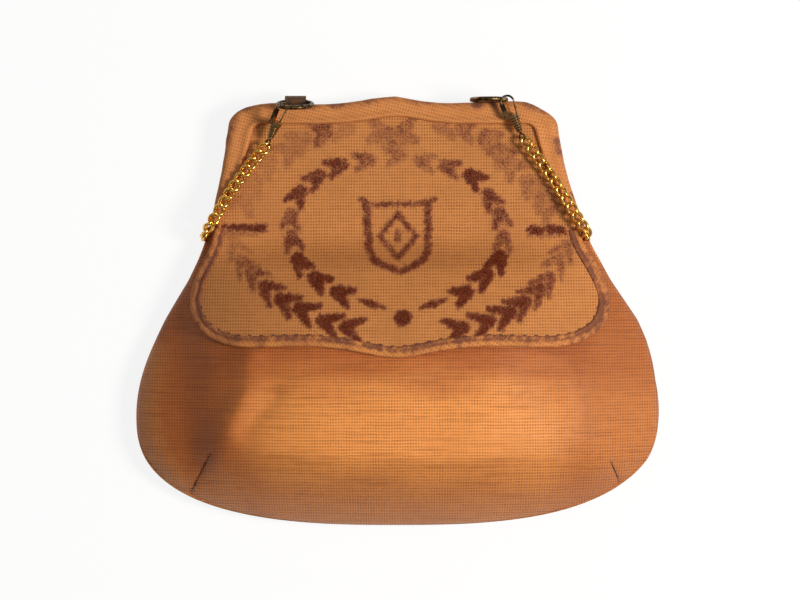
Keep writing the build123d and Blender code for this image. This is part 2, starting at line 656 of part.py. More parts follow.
def clip_body():
    """Snap hook: a flat leg, a wire crook, a collar and a ribbed barrel."""
    crook = [
        Line((-HOOK_RADIUS, HOOK_CENTRE + 2), (-HOOK_RADIUS, HOOK_CENTRE)),
        ThreePointArc((-HOOK_RADIUS, HOOK_CENTRE), (0, HOOK_CENTRE - HOOK_RADIUS), (HOOK_RADIUS, HOOK_CENTRE)),
    ]
    path = Wire(crook)
    start = Plane(origin=path @ 0, z_dir=path % 0)
    body = sweep(start * Circle(HOOK_WIRE), path=path)
    leg_low = COLLAR_START + COLLAR_LENGTH / 2
    leg_mid = (HOOK_CENTRE + leg_low) / 2
    body += Pos(LEG_SHIFT - HOOK_RADIUS, leg_mid, 0) * Box(LEG_WIDTH, leg_low - HOOK_CENTRE, LEG_THICKNESS)
    body += along_y(COLLAR_RADIUS, COLLAR_START, COLLAR_START + COLLAR_LENGTH)
    top = COLLAR_START + COLLAR_LENGTH
    step = (BARREL_END - top) / RIB_COUNT
    profile = [(0, top)]
    for k in range(RIB_COUNT):
        share = k / (RIB_COUNT - 1)
        radius = BARREL_TOP_RADIUS + (BARREL_END_RADIUS - BARREL_TOP_RADIUS) * share
        y = top + step * k
        profile += [(radius - RIB_DEPTH, y), (radius, y + step * 0.25)]
        profile += [(radius, y + step * 0.75), (radius - RIB_DEPTH, y + step)]
    profile.append((0, BARREL_END))
    barrel = revolve(make_face(Polyline(*profile, close=True)), axis=Axis.Y, revolution_arc=360)
    body += barrel
    head_end = STEM_HEAD_START + STEM_HEAD_LENGTH
    body -= along_y(STEM_HEAD_RADIUS + RUNNING_GAP, STEM_HEAD_START - RUNNING_GAP, head_end + RUNNING_GAP)
    body -= along_y(STEM_RADIUS + RUNNING_GAP, head_end, BARREL_END + 1)
    slot_long = COLLAR_LENGTH + SLOT_END_GAP * 2
    slot = Pos(GATE_PIVOT_X + SLOT_SHIFT, gate_pivot_y(), 0)
    body -= slot * Box(SLOT_WIDTH, slot_long, GATE_HUB_THICKNESS + RUNNING_GAP * 2)
    return body - Pos(GATE_PIVOT_X, gate_pivot_y(), 0) * Cylinder(PIN_RADIUS, PIN_HALF_LENGTH * 2)


def gate_pivot_y():
    return COLLAR_START + COLLAR_LENGTH / 2


def clip_gate():
    """Wire gate that closes the hook, on its pin in the collar."""
    pivot_y = gate_pivot_y()
    tip = Vector(HOOK_RADIUS, HOOK_CENTRE + GATE_TIP_GAP)
    foot = Vector(GATE_PIVOT_X, pivot_y)
    line = Line(foot, tip)
    plane = Plane(origin=line @ 0, z_dir=line % 0)
    gate = extrude(plane * Circle(GATE_WIRE), amount=line.length)
    gate += Pos(GATE_PIVOT_X, pivot_y, 0) * Cylinder(GATE_HUB_RADIUS, GATE_HUB_THICKNESS)
    return gate - Pos(GATE_PIVOT_X, pivot_y, 0) * Cylinder(PIN_RADIUS + RUNNING_GAP, PIN_HALF_LENGTH * 3)


def clip_pin():
    return Pos(GATE_PIVOT_X, gate_pivot_y(), 0) * Cylinder(PIN_RADIUS, PIN_HALF_LENGTH * 2)


def clip_eye(plane):
    """Swivel eye with its headed stem in the barrel, turned square to the end of the first link."""
    along = plane.y_dir
    up = (Vector(0, 0, 1) - along * along.Z).normalized()
    bar = up.cross(along) + up
    pole = along.cross(bar)
    turn = math.degrees(math.atan2(pole.dot(plane.x_dir), pole.dot(plane.z_dir)))
    eye = Pos(0, EYE_CENTRE, 0) * Rot(0, turn, 0) * Torus(EYE_RADIUS, EYE_WIRE)
    eye += along_y(STEM_RADIUS, STEM_HEAD_START + STEM_HEAD_LENGTH / 2, EYE_CENTRE - EYE_RADIUS)
    return eye + along_y(STEM_HEAD_RADIUS, STEM_HEAD_START, STEM_HEAD_START + STEM_HEAD_LENGTH)


def link_solid():
    """One twisted curb link, from flat facets, along X with its width along Y."""
    rings = []
    for k in range(LINK_STEPS):
        t = 2 * math.pi * (k + 0.5) / LINK_STEPS
        u = LINK_HALF_LENGTH * math.cos(t)
        turn = math.radians(LINK_TWIST) * math.cos(t)
        side = LINK_HALF_WIDTH * math.sin(t)
        centre = Vector(u, side * math.cos(turn), side * math.sin(turn))
        spoke = Vector(math.cos(t), math.sin(t) * math.cos(turn), math.sin(t) * math.sin(turn)).normalized()
        up = Vector(0, -math.sin(turn), math.cos(turn))
        radius = LINK_WIRE / 2 * LINK_FACET_GROWTH
        corners = [spoke, up, spoke * -1, up * -1]
        rings.append([centre + c * radius for c in corners])
    faces = []
    for k in range(LINK_STEPS):
        near = rings[k]
        far = rings[(k + 1) % LINK_STEPS]
        for i in range(4):
            j = (i + 1) % 4
            faces.append(Face(Wire.make_polygon([near[i], near[j], far[j]], close=True)))
            faces.append(Face(Wire.make_polygon([near[i], far[j], far[i]], close=True)))
    return Solid(Shell(faces))


LINK = link_solid()


def chain_links(path, outward):
    """Links laid nose to tail along a path, flat to the direction that outward gives."""
    count = max(1, round(path.length / LINK_PITCH))
    step = path.length / count
    marks = [path.position_at(step * k, position_mode=PositionMode.LENGTH) for k in range(count + 1)]
    links = []
    for k in range(count):
        along = (marks[k + 1] - marks[k]).normalized()
        middle = (marks[k] + marks[k + 1]) * 0.5
        normal = outward(middle)
        normal = (normal - along * normal.dot(along)).normalized()
        plane = Plane(origin=middle, x_dir=along, z_dir=normal)
        links.append(LINK.moved(plane.location))
    print("chain of", count, "links at", round(step, 3), "mm")
    return Compound(children=links)


def front_chain_normal(point):
    """Up on the bag's face, and turning sideways where the chain goes round its edge."""
    share = clamp((FRONT_COVER_TOP + 2.0 - point.Z) / 5.0)
    side = 1 if point.X > 0 else -1
    return Vector(side * math.sin(share * math.pi / 2), 0, math.cos(share * math.pi / 2) + 0.001)


def back_chain_normal(point):
    """Down on the floor side, turning to the same side normal at the bag's edge."""
    share = clamp((point.Z - CHAIN_FLOOR_Z - 0.5) / 5.0)
    side = 1 if point.X > 0 else -1
    return Vector(side * math.sin(share * math.pi / 2), 0, -math.cos(share * math.pi / 2) - 0.001)


def edge_point(side):
    return Vector(side * CHAIN_SIDE_X, HINGE_Y, HINGE_Z)


def front_chain(plane, side):
    """Handle chain from a clip's eye, down over the frame's arm to the bag's edge."""
    start = plane.origin + plane.y_dir * CHAIN_START
    rest_z = FRONT_COVER_TOP + CHAIN_REST
    points = [start, start + plane.y_dir * LINK_PITCH]
    points += [Vector(side * (NECK_HALF_WIDTH - inset), y, rest_z - fall) for inset, y, fall in CHAIN_OVER_ARM]
    points.append(edge_point(side))
    return chain_links(Wire([Spline(*points)]), front_chain_normal)


def back_chain():
    """The rest of the handle, folded down behind the neck and lying on the floor side."""
    inset, turn_y, fall = CHAIN_TURN
    half = [edge_point(1), Vector(NECK_HALF_WIDTH - inset, turn_y, HINGE_Z - fall)]
    half += [Vector(NECK_HALF_WIDTH - inset, y, CHAIN_FLOOR_Z) for inset, y in CHAIN_BEHIND]
    points = half + [Vector(0, CHAIN_ARCH_Y, CHAIN_FLOOR_Z)]
    points += [Vector(-p.X, p.Y, p.Z) for p in reversed(half)]
    return chain_links(Wire([Spline(*points)]), back_chain_normal)


front_strip = front_frame()
back_strip = back_frame()
socket = catch_socket()
left_place, right_place = tab_places()
left_clip = clip_plane(left_place, LEFT_CLIP_SIDE, -1, LEFT_CLIP_AIM)
right_clip = clip_plane(right_place, RIGHT_CLIP_SIDE, 1, RIGHT_CLIP_AIM)

save(pouch_front(), "pouch_front")
save(pouch_back(), "pouch_back")
save(lining(), "lining")
save(front_strip, "front_frame")
save(back_strip, "back_frame")
save(front_frame_cover(front_strip), "front_frame_cover")
save(back_frame_cover(back_strip), "back_frame_cover")
save(front_board(), "front_board")
save(back_board(), "back_board")
save(hinge_rivet(-1), "left_hinge_rivet")
save(hinge_rivet(1), "right_hinge_rivet")
save(catch_stud(), "catch_stud")
save(socket, "catch_socket")
save(flap(), "flap")
save(flap_binding(), "flap_binding")
save(flap_wreath(), "flap_wreath")
for name, place, clip in (("left", left_place, left_clip), ("right", right_place, right_clip)):
    save(ring_tab(place), name + "_ring_tab")
    save(handle_ring(place), name + "_ring")
    save(clip.location * clip_body(), name + "_clip_body")
    save(clip.location * clip_gate(), name + "_clip_gate")
    save(clip.location * clip_pin(), name + "_clip_pin")
    save(clip.location * clip_eye(clip), name + "_clip_eye")
    centre = ring_centre(place)
    print(name, "ring centre", centre, "clip origin", clip.origin, "along", clip.y_dir, "across", clip.z_dir)
    pivot = clip.location * Pos(GATE_PIVOT_X, gate_pivot_y(), 0)
    print(name, "gate pivot", pivot.position)
save(front_chain(left_clip, -1), "chain_left")
save(front_chain(right_clip, 1), "chain_right")
save(back_chain(), "chain_back")
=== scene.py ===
"""Looks of a framed cloth evening purse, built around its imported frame.

The bag lies on its back. Lengths in the tables are millimetres and become metres in the meshes.
"""

import logging
import math
from dataclasses import dataclass, field
from enum import Enum

import bmesh
import bpy
import numpy as np
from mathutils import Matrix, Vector


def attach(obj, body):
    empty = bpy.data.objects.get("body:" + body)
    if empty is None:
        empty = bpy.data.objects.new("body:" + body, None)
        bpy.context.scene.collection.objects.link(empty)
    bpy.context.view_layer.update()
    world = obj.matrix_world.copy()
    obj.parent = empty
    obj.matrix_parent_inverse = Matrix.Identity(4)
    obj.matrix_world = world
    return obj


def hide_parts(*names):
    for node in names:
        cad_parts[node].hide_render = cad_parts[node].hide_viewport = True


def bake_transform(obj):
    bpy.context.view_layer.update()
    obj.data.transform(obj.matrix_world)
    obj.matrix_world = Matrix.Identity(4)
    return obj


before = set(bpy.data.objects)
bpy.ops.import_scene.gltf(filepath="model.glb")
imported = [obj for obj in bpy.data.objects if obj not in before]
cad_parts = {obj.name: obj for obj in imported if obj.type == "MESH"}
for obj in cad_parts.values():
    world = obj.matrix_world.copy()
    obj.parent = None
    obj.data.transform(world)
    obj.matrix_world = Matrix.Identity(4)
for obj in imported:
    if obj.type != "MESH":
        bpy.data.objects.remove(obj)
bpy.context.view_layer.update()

LOG = logging.getLogger("purse")
MM = 0.001
Array = np.ndarray
Point2 = tuple[float, float]
Point3 = tuple[float, float, float]

# Even outline of the bag from its base to its frame
BELLY_HALF_WIDTH = 130.0
BELLY_Y = -53.0
BASE_DROP = 54.0
BASE_ROUNDNESS = 2.5
NECK_HALF_WIDTH = 95.5
HIP_FLARE = 34.5
HIP_LENGTH = 90.0
HIP_CURVE = 1.2
HINGE_Y = 37.0
SHOULDER_HALF_WIDTH = 82.0
SHOULDER_FLARE = 13.5
SHOULDER_Y = 91.0
SHOULDER_CURVE = 1.6
FRAME_TOP_RISE = 11.5
TOP_CORNER_POWER = 6.0
PEAK_HEIGHT = 3.5
PEAK_WIDTH = 17.0
ARM_END_Y = 42.5
ARM_TIP_WIDTH = 4.2
ARM_GROWTH = 8.3
WINDOW_TOP_Y = 92.9
WINDOW_CORNER = 5.0
POUCH_TOP_Y = 43.0
PLAN_ROUNDNESS = 2.62
BASE_SAG = 0.9

# Heights of the seam, the rims, the belly and the flap
SEAM_Z = 10.05
FRONT_RIM_Z = 11.7
BACK_RIM_Z = 8.4
BELLY_DEPTH = 42.0
FLAP_LOW_Z = 14.0
FLAP_HIGH_Z = 15.7
FLAP_STEP_Y = 9.0
FLAP_STEP_LENGTH = 34.0
MOUTH_EASE = 24.0
CLIMB_POWER = 1.4
FULLNESS_POWER = 1.2
EDGE_POWER = 3

# From a clip's middle to its eye's, and on to the chain's first link
EYE_DISTANCE = 20.15
FIRST_LINK_GAP = 3.7

# Free edge of the flap's right half, downwards
APRON_EDGE: tuple[Point2, ...] = (
    (90.6, 41.0), (92.5, 34.0), (98.75, 21.5), (103.0, 9.0), (98.0, -8.0), (86.0, -16.0),
    (68.8, -18.0), (43.0, -17.5), (17.2, -20.5), (0.0, -23.0),
)

# How far the worn bag's sides stand out from the even shape: heights, then left and right
SAG_HEIGHTS = (-110, -95, -85, -75, -53, -35, -25, -15, -5, 5, 15, 25, 35, 45, 55, 65, 75, 85, 95, 106)
SAG_LEFT = (
    0.0, 0.0, 0.0, 0.2, 0.3, 0.3, 0.2, 0.0, 0.0, -0.6, -1.3, -1.0, -0.4, 0.2, 1.4, 2.0, 2.4, 2.7, 1.6, 0.5,
)
SAG_RIGHT = (
    -2.0, -2.5, -1.2, 0.6, 1.8, 2.4, 3.8, 5.0, 5.4, 3.9, 2.4, 2.0, 0.9, 1.2, 0.6, 0.2, 0.0, -0.3, -1.2, -1.5,
)


class Body(str, Enum):
    """The bodies of the frame that pieces move with."""

    BAG = "bag"
    FRONT = "front_half"


def linear(code: str) -> tuple[float, float, float, float]:
    """Turn an sRGB hex colour into the linear colour that shaders take.

    Args:
        code: The colour as "#rrggbb".

    Returns:
        Red, green, blue and alpha, from 0 to 1.
    """
    parts = [int(code[i : i + 2], 16) / 255 for i in (1, 3, 5)]
    red, green, blue = (p / 12.92 if p <= 0.04045 else ((p + 0.055) / 1.055) ** 2.4 for p in parts)
    return red, green, blue, 1.0


# Shape of the bag


def smoothstep(t: Array) -> Array:
    """Return the smooth 0 to 1 step of t."""
    t = np.clip(t, 0, 1)
    return t * t * (3 - 2 * t)


def half_width(y: Array) -> Array:
    """Half the bag's width at each height, to the seam or the frame's outer edge."""
    y = np.asarray(y, float)
    rise = np.clip((y - HINGE_Y) / (SHOULDER_Y - HINGE_Y), 0, 1)
    shoulder = SHOULDER_HALF_WIDTH + SHOULDER_FLARE * (1 - rise) ** SHOULDER_CURVE
    fall = np.clip((HINGE_Y - y) / HIP_LENGTH, 0, 1)
    hip = NECK_HALF_WIDTH + HIP_FLARE * np.sin(math.pi / 2 * fall**HIP_CURVE)
    return np.where(y >= HINGE_Y, shoulder, hip)


def edge_share(x: Array, y: Array) -> Array:
    """How far a point is from the middle line to the seam, 0 to 1."""
    above = np.abs(x) / half_width(y)
    drop = np.clip((BELLY_Y - y) / BASE_DROP, 0, None)
    across = np.abs(x) / BELLY_HALF_WIDTH
    below = (across**BASE_ROUNDNESS + drop**BASE_ROUNDNESS) ** (1 / BASE_ROUNDNESS)
    return np.where(y >= BELLY_Y, above, below)


def steepened(share: Array, power: float) -> Array:
    """Return share to a power, going on straight beyond 1."""
    return np.where(share <= 1, np.clip(share, 0, 1) ** power, 1 + power * (share - 1))


def swell(x: Array, y: Array) -> Array:
    """How far the filled belly stands out of the seam plane."""
    climb = np.clip((y - BELLY_Y) / (POUCH_TOP_Y - BELLY_Y), 0, 1)
    fullness = np.cos(math.pi / 2 * climb**CLIMB_POWER) ** FULLNESS_POWER
    ease = smoothstep((POUCH_TOP_Y - y) / MOUTH_EASE)
    return BELLY_DEPTH * fullness * ease * (1 - steepened(edge_share(x, y), EDGE_POWER))


def flap_height(x: Array, y: Array) -> Array:
    """Height of the flap's face."""
    step = FLAP_HIGH_Z - FLAP_LOW_Z
    return FLAP_LOW_Z + step * smoothstep((y - FLAP_STEP_Y) / FLAP_STEP_LENGTH) + swell(x, y)


def peak(x: Array) -> Array:
    """Rise of the frame's middle point."""
    return PEAK_HEIGHT * np.exp(-((np.asarray(x, float) / PEAK_WIDTH) ** 2))


def window_side(y: Array) -> Array:
    """Half the width of the frame's window at a height."""
    rise = np.clip((np.asarray(y, float) - ARM_END_Y) / (SHOULDER_Y - ARM_END_Y), 0, None)
    return half_width(y) - (ARM_TIP_WIDTH + ARM_GROWTH * rise**0.8)


def wobble(x: Array, y: Array, size: float, seed: int) -> Array:
    """Smooth repeatable unevenness between about -1 and 1.

    Args:
        x: Places across.
        y: Places up.
        size: Length of the waves.
        seed: Picks the waves.

    Returns:
        The unevenness at each place.
    """
    rng = np.random.default_rng(seed)
    total = np.zeros(np.broadcast(x, y).shape)
    for _ in range(9):
        angle = rng.uniform(0, math.pi)
        wave = size * rng.uniform(0.7, 1.5)
        phase = rng.uniform(0, 2 * math.pi)
        along = np.asarray(x) * math.cos(angle) + np.asarray(y) * math.sin(angle)
        total = total + np.sin(along * 2 * math.pi / wave + phase)
    return total / 4.5


def distances(line: Array) -> Array:
    """How far along a line each of its points is."""
    return np.concatenate([[0], np.cumsum(np.linalg.norm(np.diff(line, axis=0), axis=1))])


def cubic_path(points: list, count: int) -> Array:
    """Draw a natural cubic spline through points.

    Args:
        points: The points to pass through.
        count: How many points to return.

    Returns:
        Points evenly spaced along the curve.
    """
    p = np.array(points, float)
    t = distances(p)
    h = np.diff(t)
    n = len(p)
    system = np.eye(n)
    right = np.zeros_like(p)
    for i in range(1, n - 1):
        system[i, i - 1], system[i, i] = h[i - 1], 2 * (h[i - 1] + h[i])
        system[i, i + 1] = h[i]
        right[i] = 6 * ((p[i + 1] - p[i]) / h[i] - (p[i] - p[i - 1]) / h[i - 1])
    m = np.linalg.solve(system, right)
    s = np.linspace(0, t[-1], count * 6)
    i = np.clip(np.searchsorted(t, s) - 1, 0, n - 2)
    a, b = (t[i + 1] - s)[:, None], (s - t[i])[:, None]
    w = h[i][:, None]
    curve = (m[i] * a**3 + m[i + 1] * b**3) / (6 * w)
    curve += (p[i] / w - m[i] * w / 6) * a + (p[i + 1] / w - m[i + 1] * w / 6) * b
    return resampled(curve, count)


def resampled(line: Array, count: int) -> Array:
    """Space a dense line's points evenly."""
    length = distances(line)
    s = np.linspace(0, length[-1], count)
    return np.stack([np.interp(s, length, line[:, k]) for k in range(line.shape[1])], 1)


def settled(points: Array) -> Array:
    """Give points of the even shape the worn bag's uneven sides and its base's small sag."""
    x, y = points[:, 0], points[:, 1]
    amount = np.where(x < 0, -np.interp(y, SAG_HEIGHTS, SAG_LEFT), np.interp(y, SAG_HEIGHTS, SAG_RIGHT))
    share = np.clip(np.abs(x) / half_width(np.clip(y, BELLY_Y, None)), 0, 1.1)
    moved = points.copy()
    moved[:, 0] += amount * share**2
    moved[:, 1] -= BASE_SAG * smoothstep((BELLY_Y - y) / BASE_DROP)
    return moved


def inside(x: Array, y: Array, outline: Array) -> Array:
    """Tell which points lie in a closed outline."""
    found = np.zeros(x.shape, bool)
    for (x0, y0), (x1, y1) in zip(outline, np.roll(outline, -1, axis=0)):
        if y0 == y1:
            continue
        crosses = (y0 > y) != (y1 > y)
        found ^= crosses & (x < (x1 - x0) * (y - y0) / (y1 - y0) + x0)
    return found


def beside(x: Array, y: Array, start: Point2, end: Point2) -> tuple[Array, Array]:
    """Find each place's share of the way along a straight run, and its distance from the run."""
    (ax, ay), (bx, by) = start, end
    length = (bx - ax) ** 2 + (by - ay) ** 2
    share = np.clip(((x - ax) * (bx - ax) + (y - ay) * (by - ay)) / length, 0, 1)
    return share, np.hypot(x - ax - share * (bx - ax), y - ay - share * (by - ay))


# Pile of the flap


@dataclass(frozen=True)
class Stroke:
    """A rounded mark that may taper, drawn along a line."""

    points: tuple[Point2, ...]
    start_radius: float
    end_radius: float
    strength: float

    def cover(self, x: Array, y: Array, soft: float) -> Array:
        """How strongly the mark covers each place.

        Args:
            x: Places across.
            y: Places up.
            soft: Width of the mark's fading edge.

        Returns:
            From 0, clear, to the stroke's strength.
        """
        best = np.full(x.shape, -9.0)
        growth = (self.end_radius - self.start_radius) / (len(self.points) - 1)
        for i, (start, end) in enumerate(zip(self.points, self.points[1:])):
            share, away = beside(x, y, start, end)
            best = np.maximum(best, self.start_radius + growth * (i + share) - away)
        return self.strength * smoothstep(best / soft + 0.5)


@dataclass(frozen=True)
class LeafKind:
    """The size of a pair of leaves that open forwards from one point."""

    length: float
    spread: float
    root_radius: float
    tip_radius: float


INNER_LEAF = LeafKind(8.4, 29.0, 3.6, 1.6)
OUTER_LEAF = LeafKind(10.2, 33.0, 3.2, 1.5)
WORN_LEAF = LeafKind(8.0, 40.0, 4.2, 2.6)


@dataclass(frozen=True)
class Branch:
    """A row of leaf pairs, from the branch's root to its tip, as (x, y, strength)."""

    kind: LeafKind
    leaves: tuple[Point3, ...]
    lens: bool = False

    def strokes(self) -> list[Stroke]:
        """Draw the branch: two strokes for each pair of leaves, and two for a lens at its tip."""
        places = np.array([leaf[:2] for leaf in self.leaves])
        ways = np.gradient(places, axis=0)
        ways /= np.linalg.norm(ways, axis=1)[:, None]
        kind, drawn = self.kind, []
        for i, ((x, y, strength), (dx, dy)) in enumerate(zip(self.leaves, ways)):
            if self.lens and i == len(self.leaves) - 1:
                reach = kind.length * 0.8
                ends = ((x - dx * reach, y - dy * reach), (x, y), (x + dx * reach, y + dy * reach))
                drawn.append(Stroke(ends[:2], 1.0, 2.1, strength))
                drawn.append(Stroke(ends[1:], 2.1, 0.8, strength))
                continue
            root = (x - dx * kind.length * 0.4, y - dy * kind.length * 0.4)
            for side in (-1, 1):
                turn = math.radians(side * kind.spread)
                ex = dx * math.cos(turn) - dy * math.sin(turn)
                ey = dx * math.sin(turn) + dy * math.cos(turn)
                tip = (root[0] + ex * kind.length, root[1] + ey * kind.length)
                drawn.append(Stroke((root, tip), kind.root_radius, kind.tip_radius, strength))
        return drawn


BRANCHES: tuple[Branch, ...] = (
    Branch(INNER_LEAF, ((-1, 77, 0.5), (-16.5, 74.5, 0.6), (-30, 71.5, 0.8), (-40.5, 65, 0.75),
                        (-49, 56.5, 0.8), (-52.5, 44.5, 0.6), (-51.5, 34, 0.7), (-47, 22.5, 0.9),
                        (-37.5, 14, 1.0), (-26, 7.5, 1.0), (-11.5, 3, 0.85)), lens=True),
    Branch(INNER_LEAF, ((15, 74, 0.5), (27.5, 71, 0.65), (39.5, 65.5, 0.9), (47.5, 55, 0.75),
                        (52, 45.5, 0.65), (53, 34, 0.6), (50, 23.5, 1.0), (42, 15.5, 1.0),
                        (32, 7.5, 1.0), (18, 3, 0.9)), lens=True),
    Branch(OUTER_LEAF, ((-80, 31, 0.4), (-76, 22, 0.5), (-70, 16.5, 0.6), (-62.5, 9.5, 0.8),
                        (-53.5, 3.5, 0.9), (-44, -1, 0.95), (-32, -6.5, 1.0), (-21, -9, 0.9))),
    Branch(OUTER_LEAF, ((83, 29.5, 0.5), (78.5, 22.5, 0.5), (72.5, 13.5, 0.65), (67, 8, 0.75),
                        (59.5, 2, 0.85), (51.5, -2.5, 0.95), (41.5, -6.5, 1.0), (28.5, -9.5, 0.95))),
    Branch(WORN_LEAF, ((-9.5, 89.5, 0.45), (-27, 91, 0.35), (-37.5, 89, 0.6), (-47.5, 84, 0.4),
                       (-54, 78.5, 0.4), (-64, 72, 0.3), (-71, 62, 0.3), (-76, 52.5, 0.35))),
    Branch(WORN_LEAF, ((6, 89.5, 0.5), (25, 92, 0.45), (36, 90.5, 0.5), (47, 85, 0.5),
                       (53.5, 78, 0.5), (59, 71, 0.45), (67, 62, 0.45), (73, 55, 0.45), (77, 49, 0.45))),
)

SHIELD: tuple[Stroke, ...] = (
    Stroke(((-17.8, 55.6), (-12, 52.4), (-5.5, 52.7), (2, 53.2), (9.5, 52.6), (19.4, 55.4)), 1.5, 1.5, 0.72),
    Stroke(((-14.75, 53), (-14.2, 42.5), (-13.2, 30), (-11.5, 25.5), (-6, 22), (2.5, 19)), 2.2, 2.0, 0.74),
    Stroke(((16, 53.5), (16.2, 40), (15.6, 28), (13, 24.5), (9, 22), (2.5, 19)), 2.2, 2.0, 0.74),
    Stroke(((1, 48), (-8, 37), (1, 26)), 1.7, 1.7, 0.7),
    Stroke(((1, 48), (10, 37), (1, 26)), 1.7, 1.7, 0.7),
    Stroke(((1, 39), (1, 35)), 2.0, 2.0, 0.62),
)

PILE_FADE = 2.8
PILE_RAGGEDNESS = 0.75
MARKS: tuple[Stroke, ...] = (
    Stroke(((3.1, -3.85), (3.9, -3.85)), 4.1, 4.1, 1.0),
    Stroke(((-86, 41.5), (-66, 41)), 1.4, 2.2, 0.95),
    Stroke(((-84, 38.5), (-70, 38)), 2.2, 1.4, 0.45),
    Stroke(((67.5, 40), (72.5, 39.5)), 2.6, 2.2, 0.95),
    Stroke(((77, 40.5), (83, 39.5)), 2.6, 2.0, 0.9),
    Stroke(((66, 37), (87, 38.5)), 1.8, 2.4, 0.4),
    Stroke(((-3, 88), (-2, 80)), 4.2, 2.4, 0.5),
    Stroke(((-12, 86), (-3, 81)), 2.4, 1.6, 0.4),
    Stroke(((8, 86), (0, 81)), 2.4, 1.6, 0.45),
)


def pile_amount(x: Array, y: Array) -> Array:
    """How much pile stands at each place of the flap, 0 to 1."""
    rough_x = x + PILE_RAGGEDNESS * wobble(x, y, 3.3, 11)
    rough_y = y + PILE_RAGGEDNESS * wobble(x, y, 2.9, 12)
    amount = np.zeros(x.shape)
    strokes = [*SHIELD, *MARKS]
    for branch in BRANCHES:
        strokes.extend(branch.strokes())
    for stroke in strokes:
        amount = np.maximum(amount, stroke.cover(rough_x, rough_y, PILE_FADE))
    worn = 0.92 + 0.16 * wobble(x, y, 5.5, 13) - 0.08 * wobble(x, y, 1.9, 14) ** 2
    return np.clip(amount * worn, 0, 1)


# Materials


class NodeSheet:
    """A node tree with one way of adding nodes."""

    def __init__(self, tree: bpy.types.NodeTree) -> None:
        """Wrap a tree."""
        self.tree = tree

    def add(self, kind: str, inputs: dict | None = None, **settings) -> bpy.types.Node:
        """Add one node.

        Args:
            kind: The node's type.
            inputs: Socket name or number to a value or to another node's output.
            **settings: The node's own properties.

        Returns:
            The new node.
        """
        node = self.tree.nodes.new(kind)
        for key, value in settings.items():
            setattr(node, key, value)
        for key, value in (inputs or {}).items():
            if isinstance(value, bpy.types.NodeSocket):
                self.tree.links.new(value, node.inputs[key])
            else:
                node.inputs[key].default_value = value
        return node

    def out(self, kind: str, inputs: dict | None = None, **settings) -> bpy.types.NodeSocket:
        """Add one node and return its first output."""
        return self.add(kind, inputs, **settings).outputs[0]

    def math(self, operation: str, a, b=0.0) -> bpy.types.NodeSocket:
        """Return the output of a Math node."""
        return self.out("ShaderNodeMath", {0: a, 1: b}, operation=operation)

    def times(self, a, b) -> bpy.types.NodeSocket:
        """Return the product of two values."""
        return self.math("MULTIPLY", a, b)

    def ramp(self, value, low: float, high: float, start=0.0, end=1.0) -> bpy.types.NodeSocket:
        """Return value mapped smoothly from low and high to start and end."""
        inputs = {0: value, 1: low, 2: high, 3: start, 4: end}
        return self.out("ShaderNodeMapRange", inputs, interpolation_type="SMOOTHSTEP")

    def mix(self, factor, a, b, blend: str = "MIX") -> bpy.types.NodeSocket:
        """Return two colours mixed by a factor."""
        node = self.add("ShaderNodeMix", {0: factor, 6: a, 7: b}, data_type="RGBA", blend_type=blend)
        return node.outputs[2]

    def tint(self, base, pattern, amount: float, code: str, blend: str = "MIX") -> bpy.types.NodeSocket:
        """Return a colour drawn towards another one by so much of a pattern."""
        return self.mix(self.times(pattern, amount), base, linear(code), blend)

    def noise(self, vector, scale: float, detail: float = 3.0) -> bpy.types.NodeSocket:
        """Return a noise of features 1 / scale metres wide."""
        inputs = {"Vector": vector, "Scale": scale, "Detail": detail}
        return self.add("ShaderNodeTexNoise", inputs).outputs["Fac"]

    def place(self) -> bpy.types.NodeSocket:
        """Return the place on the object, in metres."""
        return self.add("ShaderNodeTexCoord").outputs["Object"]

    def value(self, name: str) -> bpy.types.NodeSocket:
        """Return one of the mesh's attributes."""
        return self.add("ShaderNodeAttribute", attribute_name=name).outputs["Fac"]

    def bump(self, strength: float, depth: float, height) -> bpy.types.NodeSocket:
        """Return the normal that a height pattern of so many millimetres gives."""
        inputs = {"Strength": strength, "Distance": depth * MM, "Height": height}
        return self.out("ShaderNodeBump", inputs)

    def surface(self, **inputs) -> None:
        """Close the material with a Principled shader, whose inputs are named with _ for spaces."""
        named = {key.replace("_", " "): value for key, value in inputs.items()}
        shader = self.add("ShaderNodeBsdfPrincipled", named)
        self.add("ShaderNodeOutputMaterial", {0: shader.outputs[0]})


@dataclass(frozen=True)
class Finish:
    """A named finish, whose build makes its material."""

    name: str
    slot: str

    def sheet(self) -> tuple[bpy.types.Material, NodeSheet]:
        """Make an empty material, and return it with its node sheet."""
        material = bpy.data.materials.new(self.name)
        material.use_nodes = True
        material.node_tree.nodes.clear()
        return material, NodeSheet(material.node_tree)


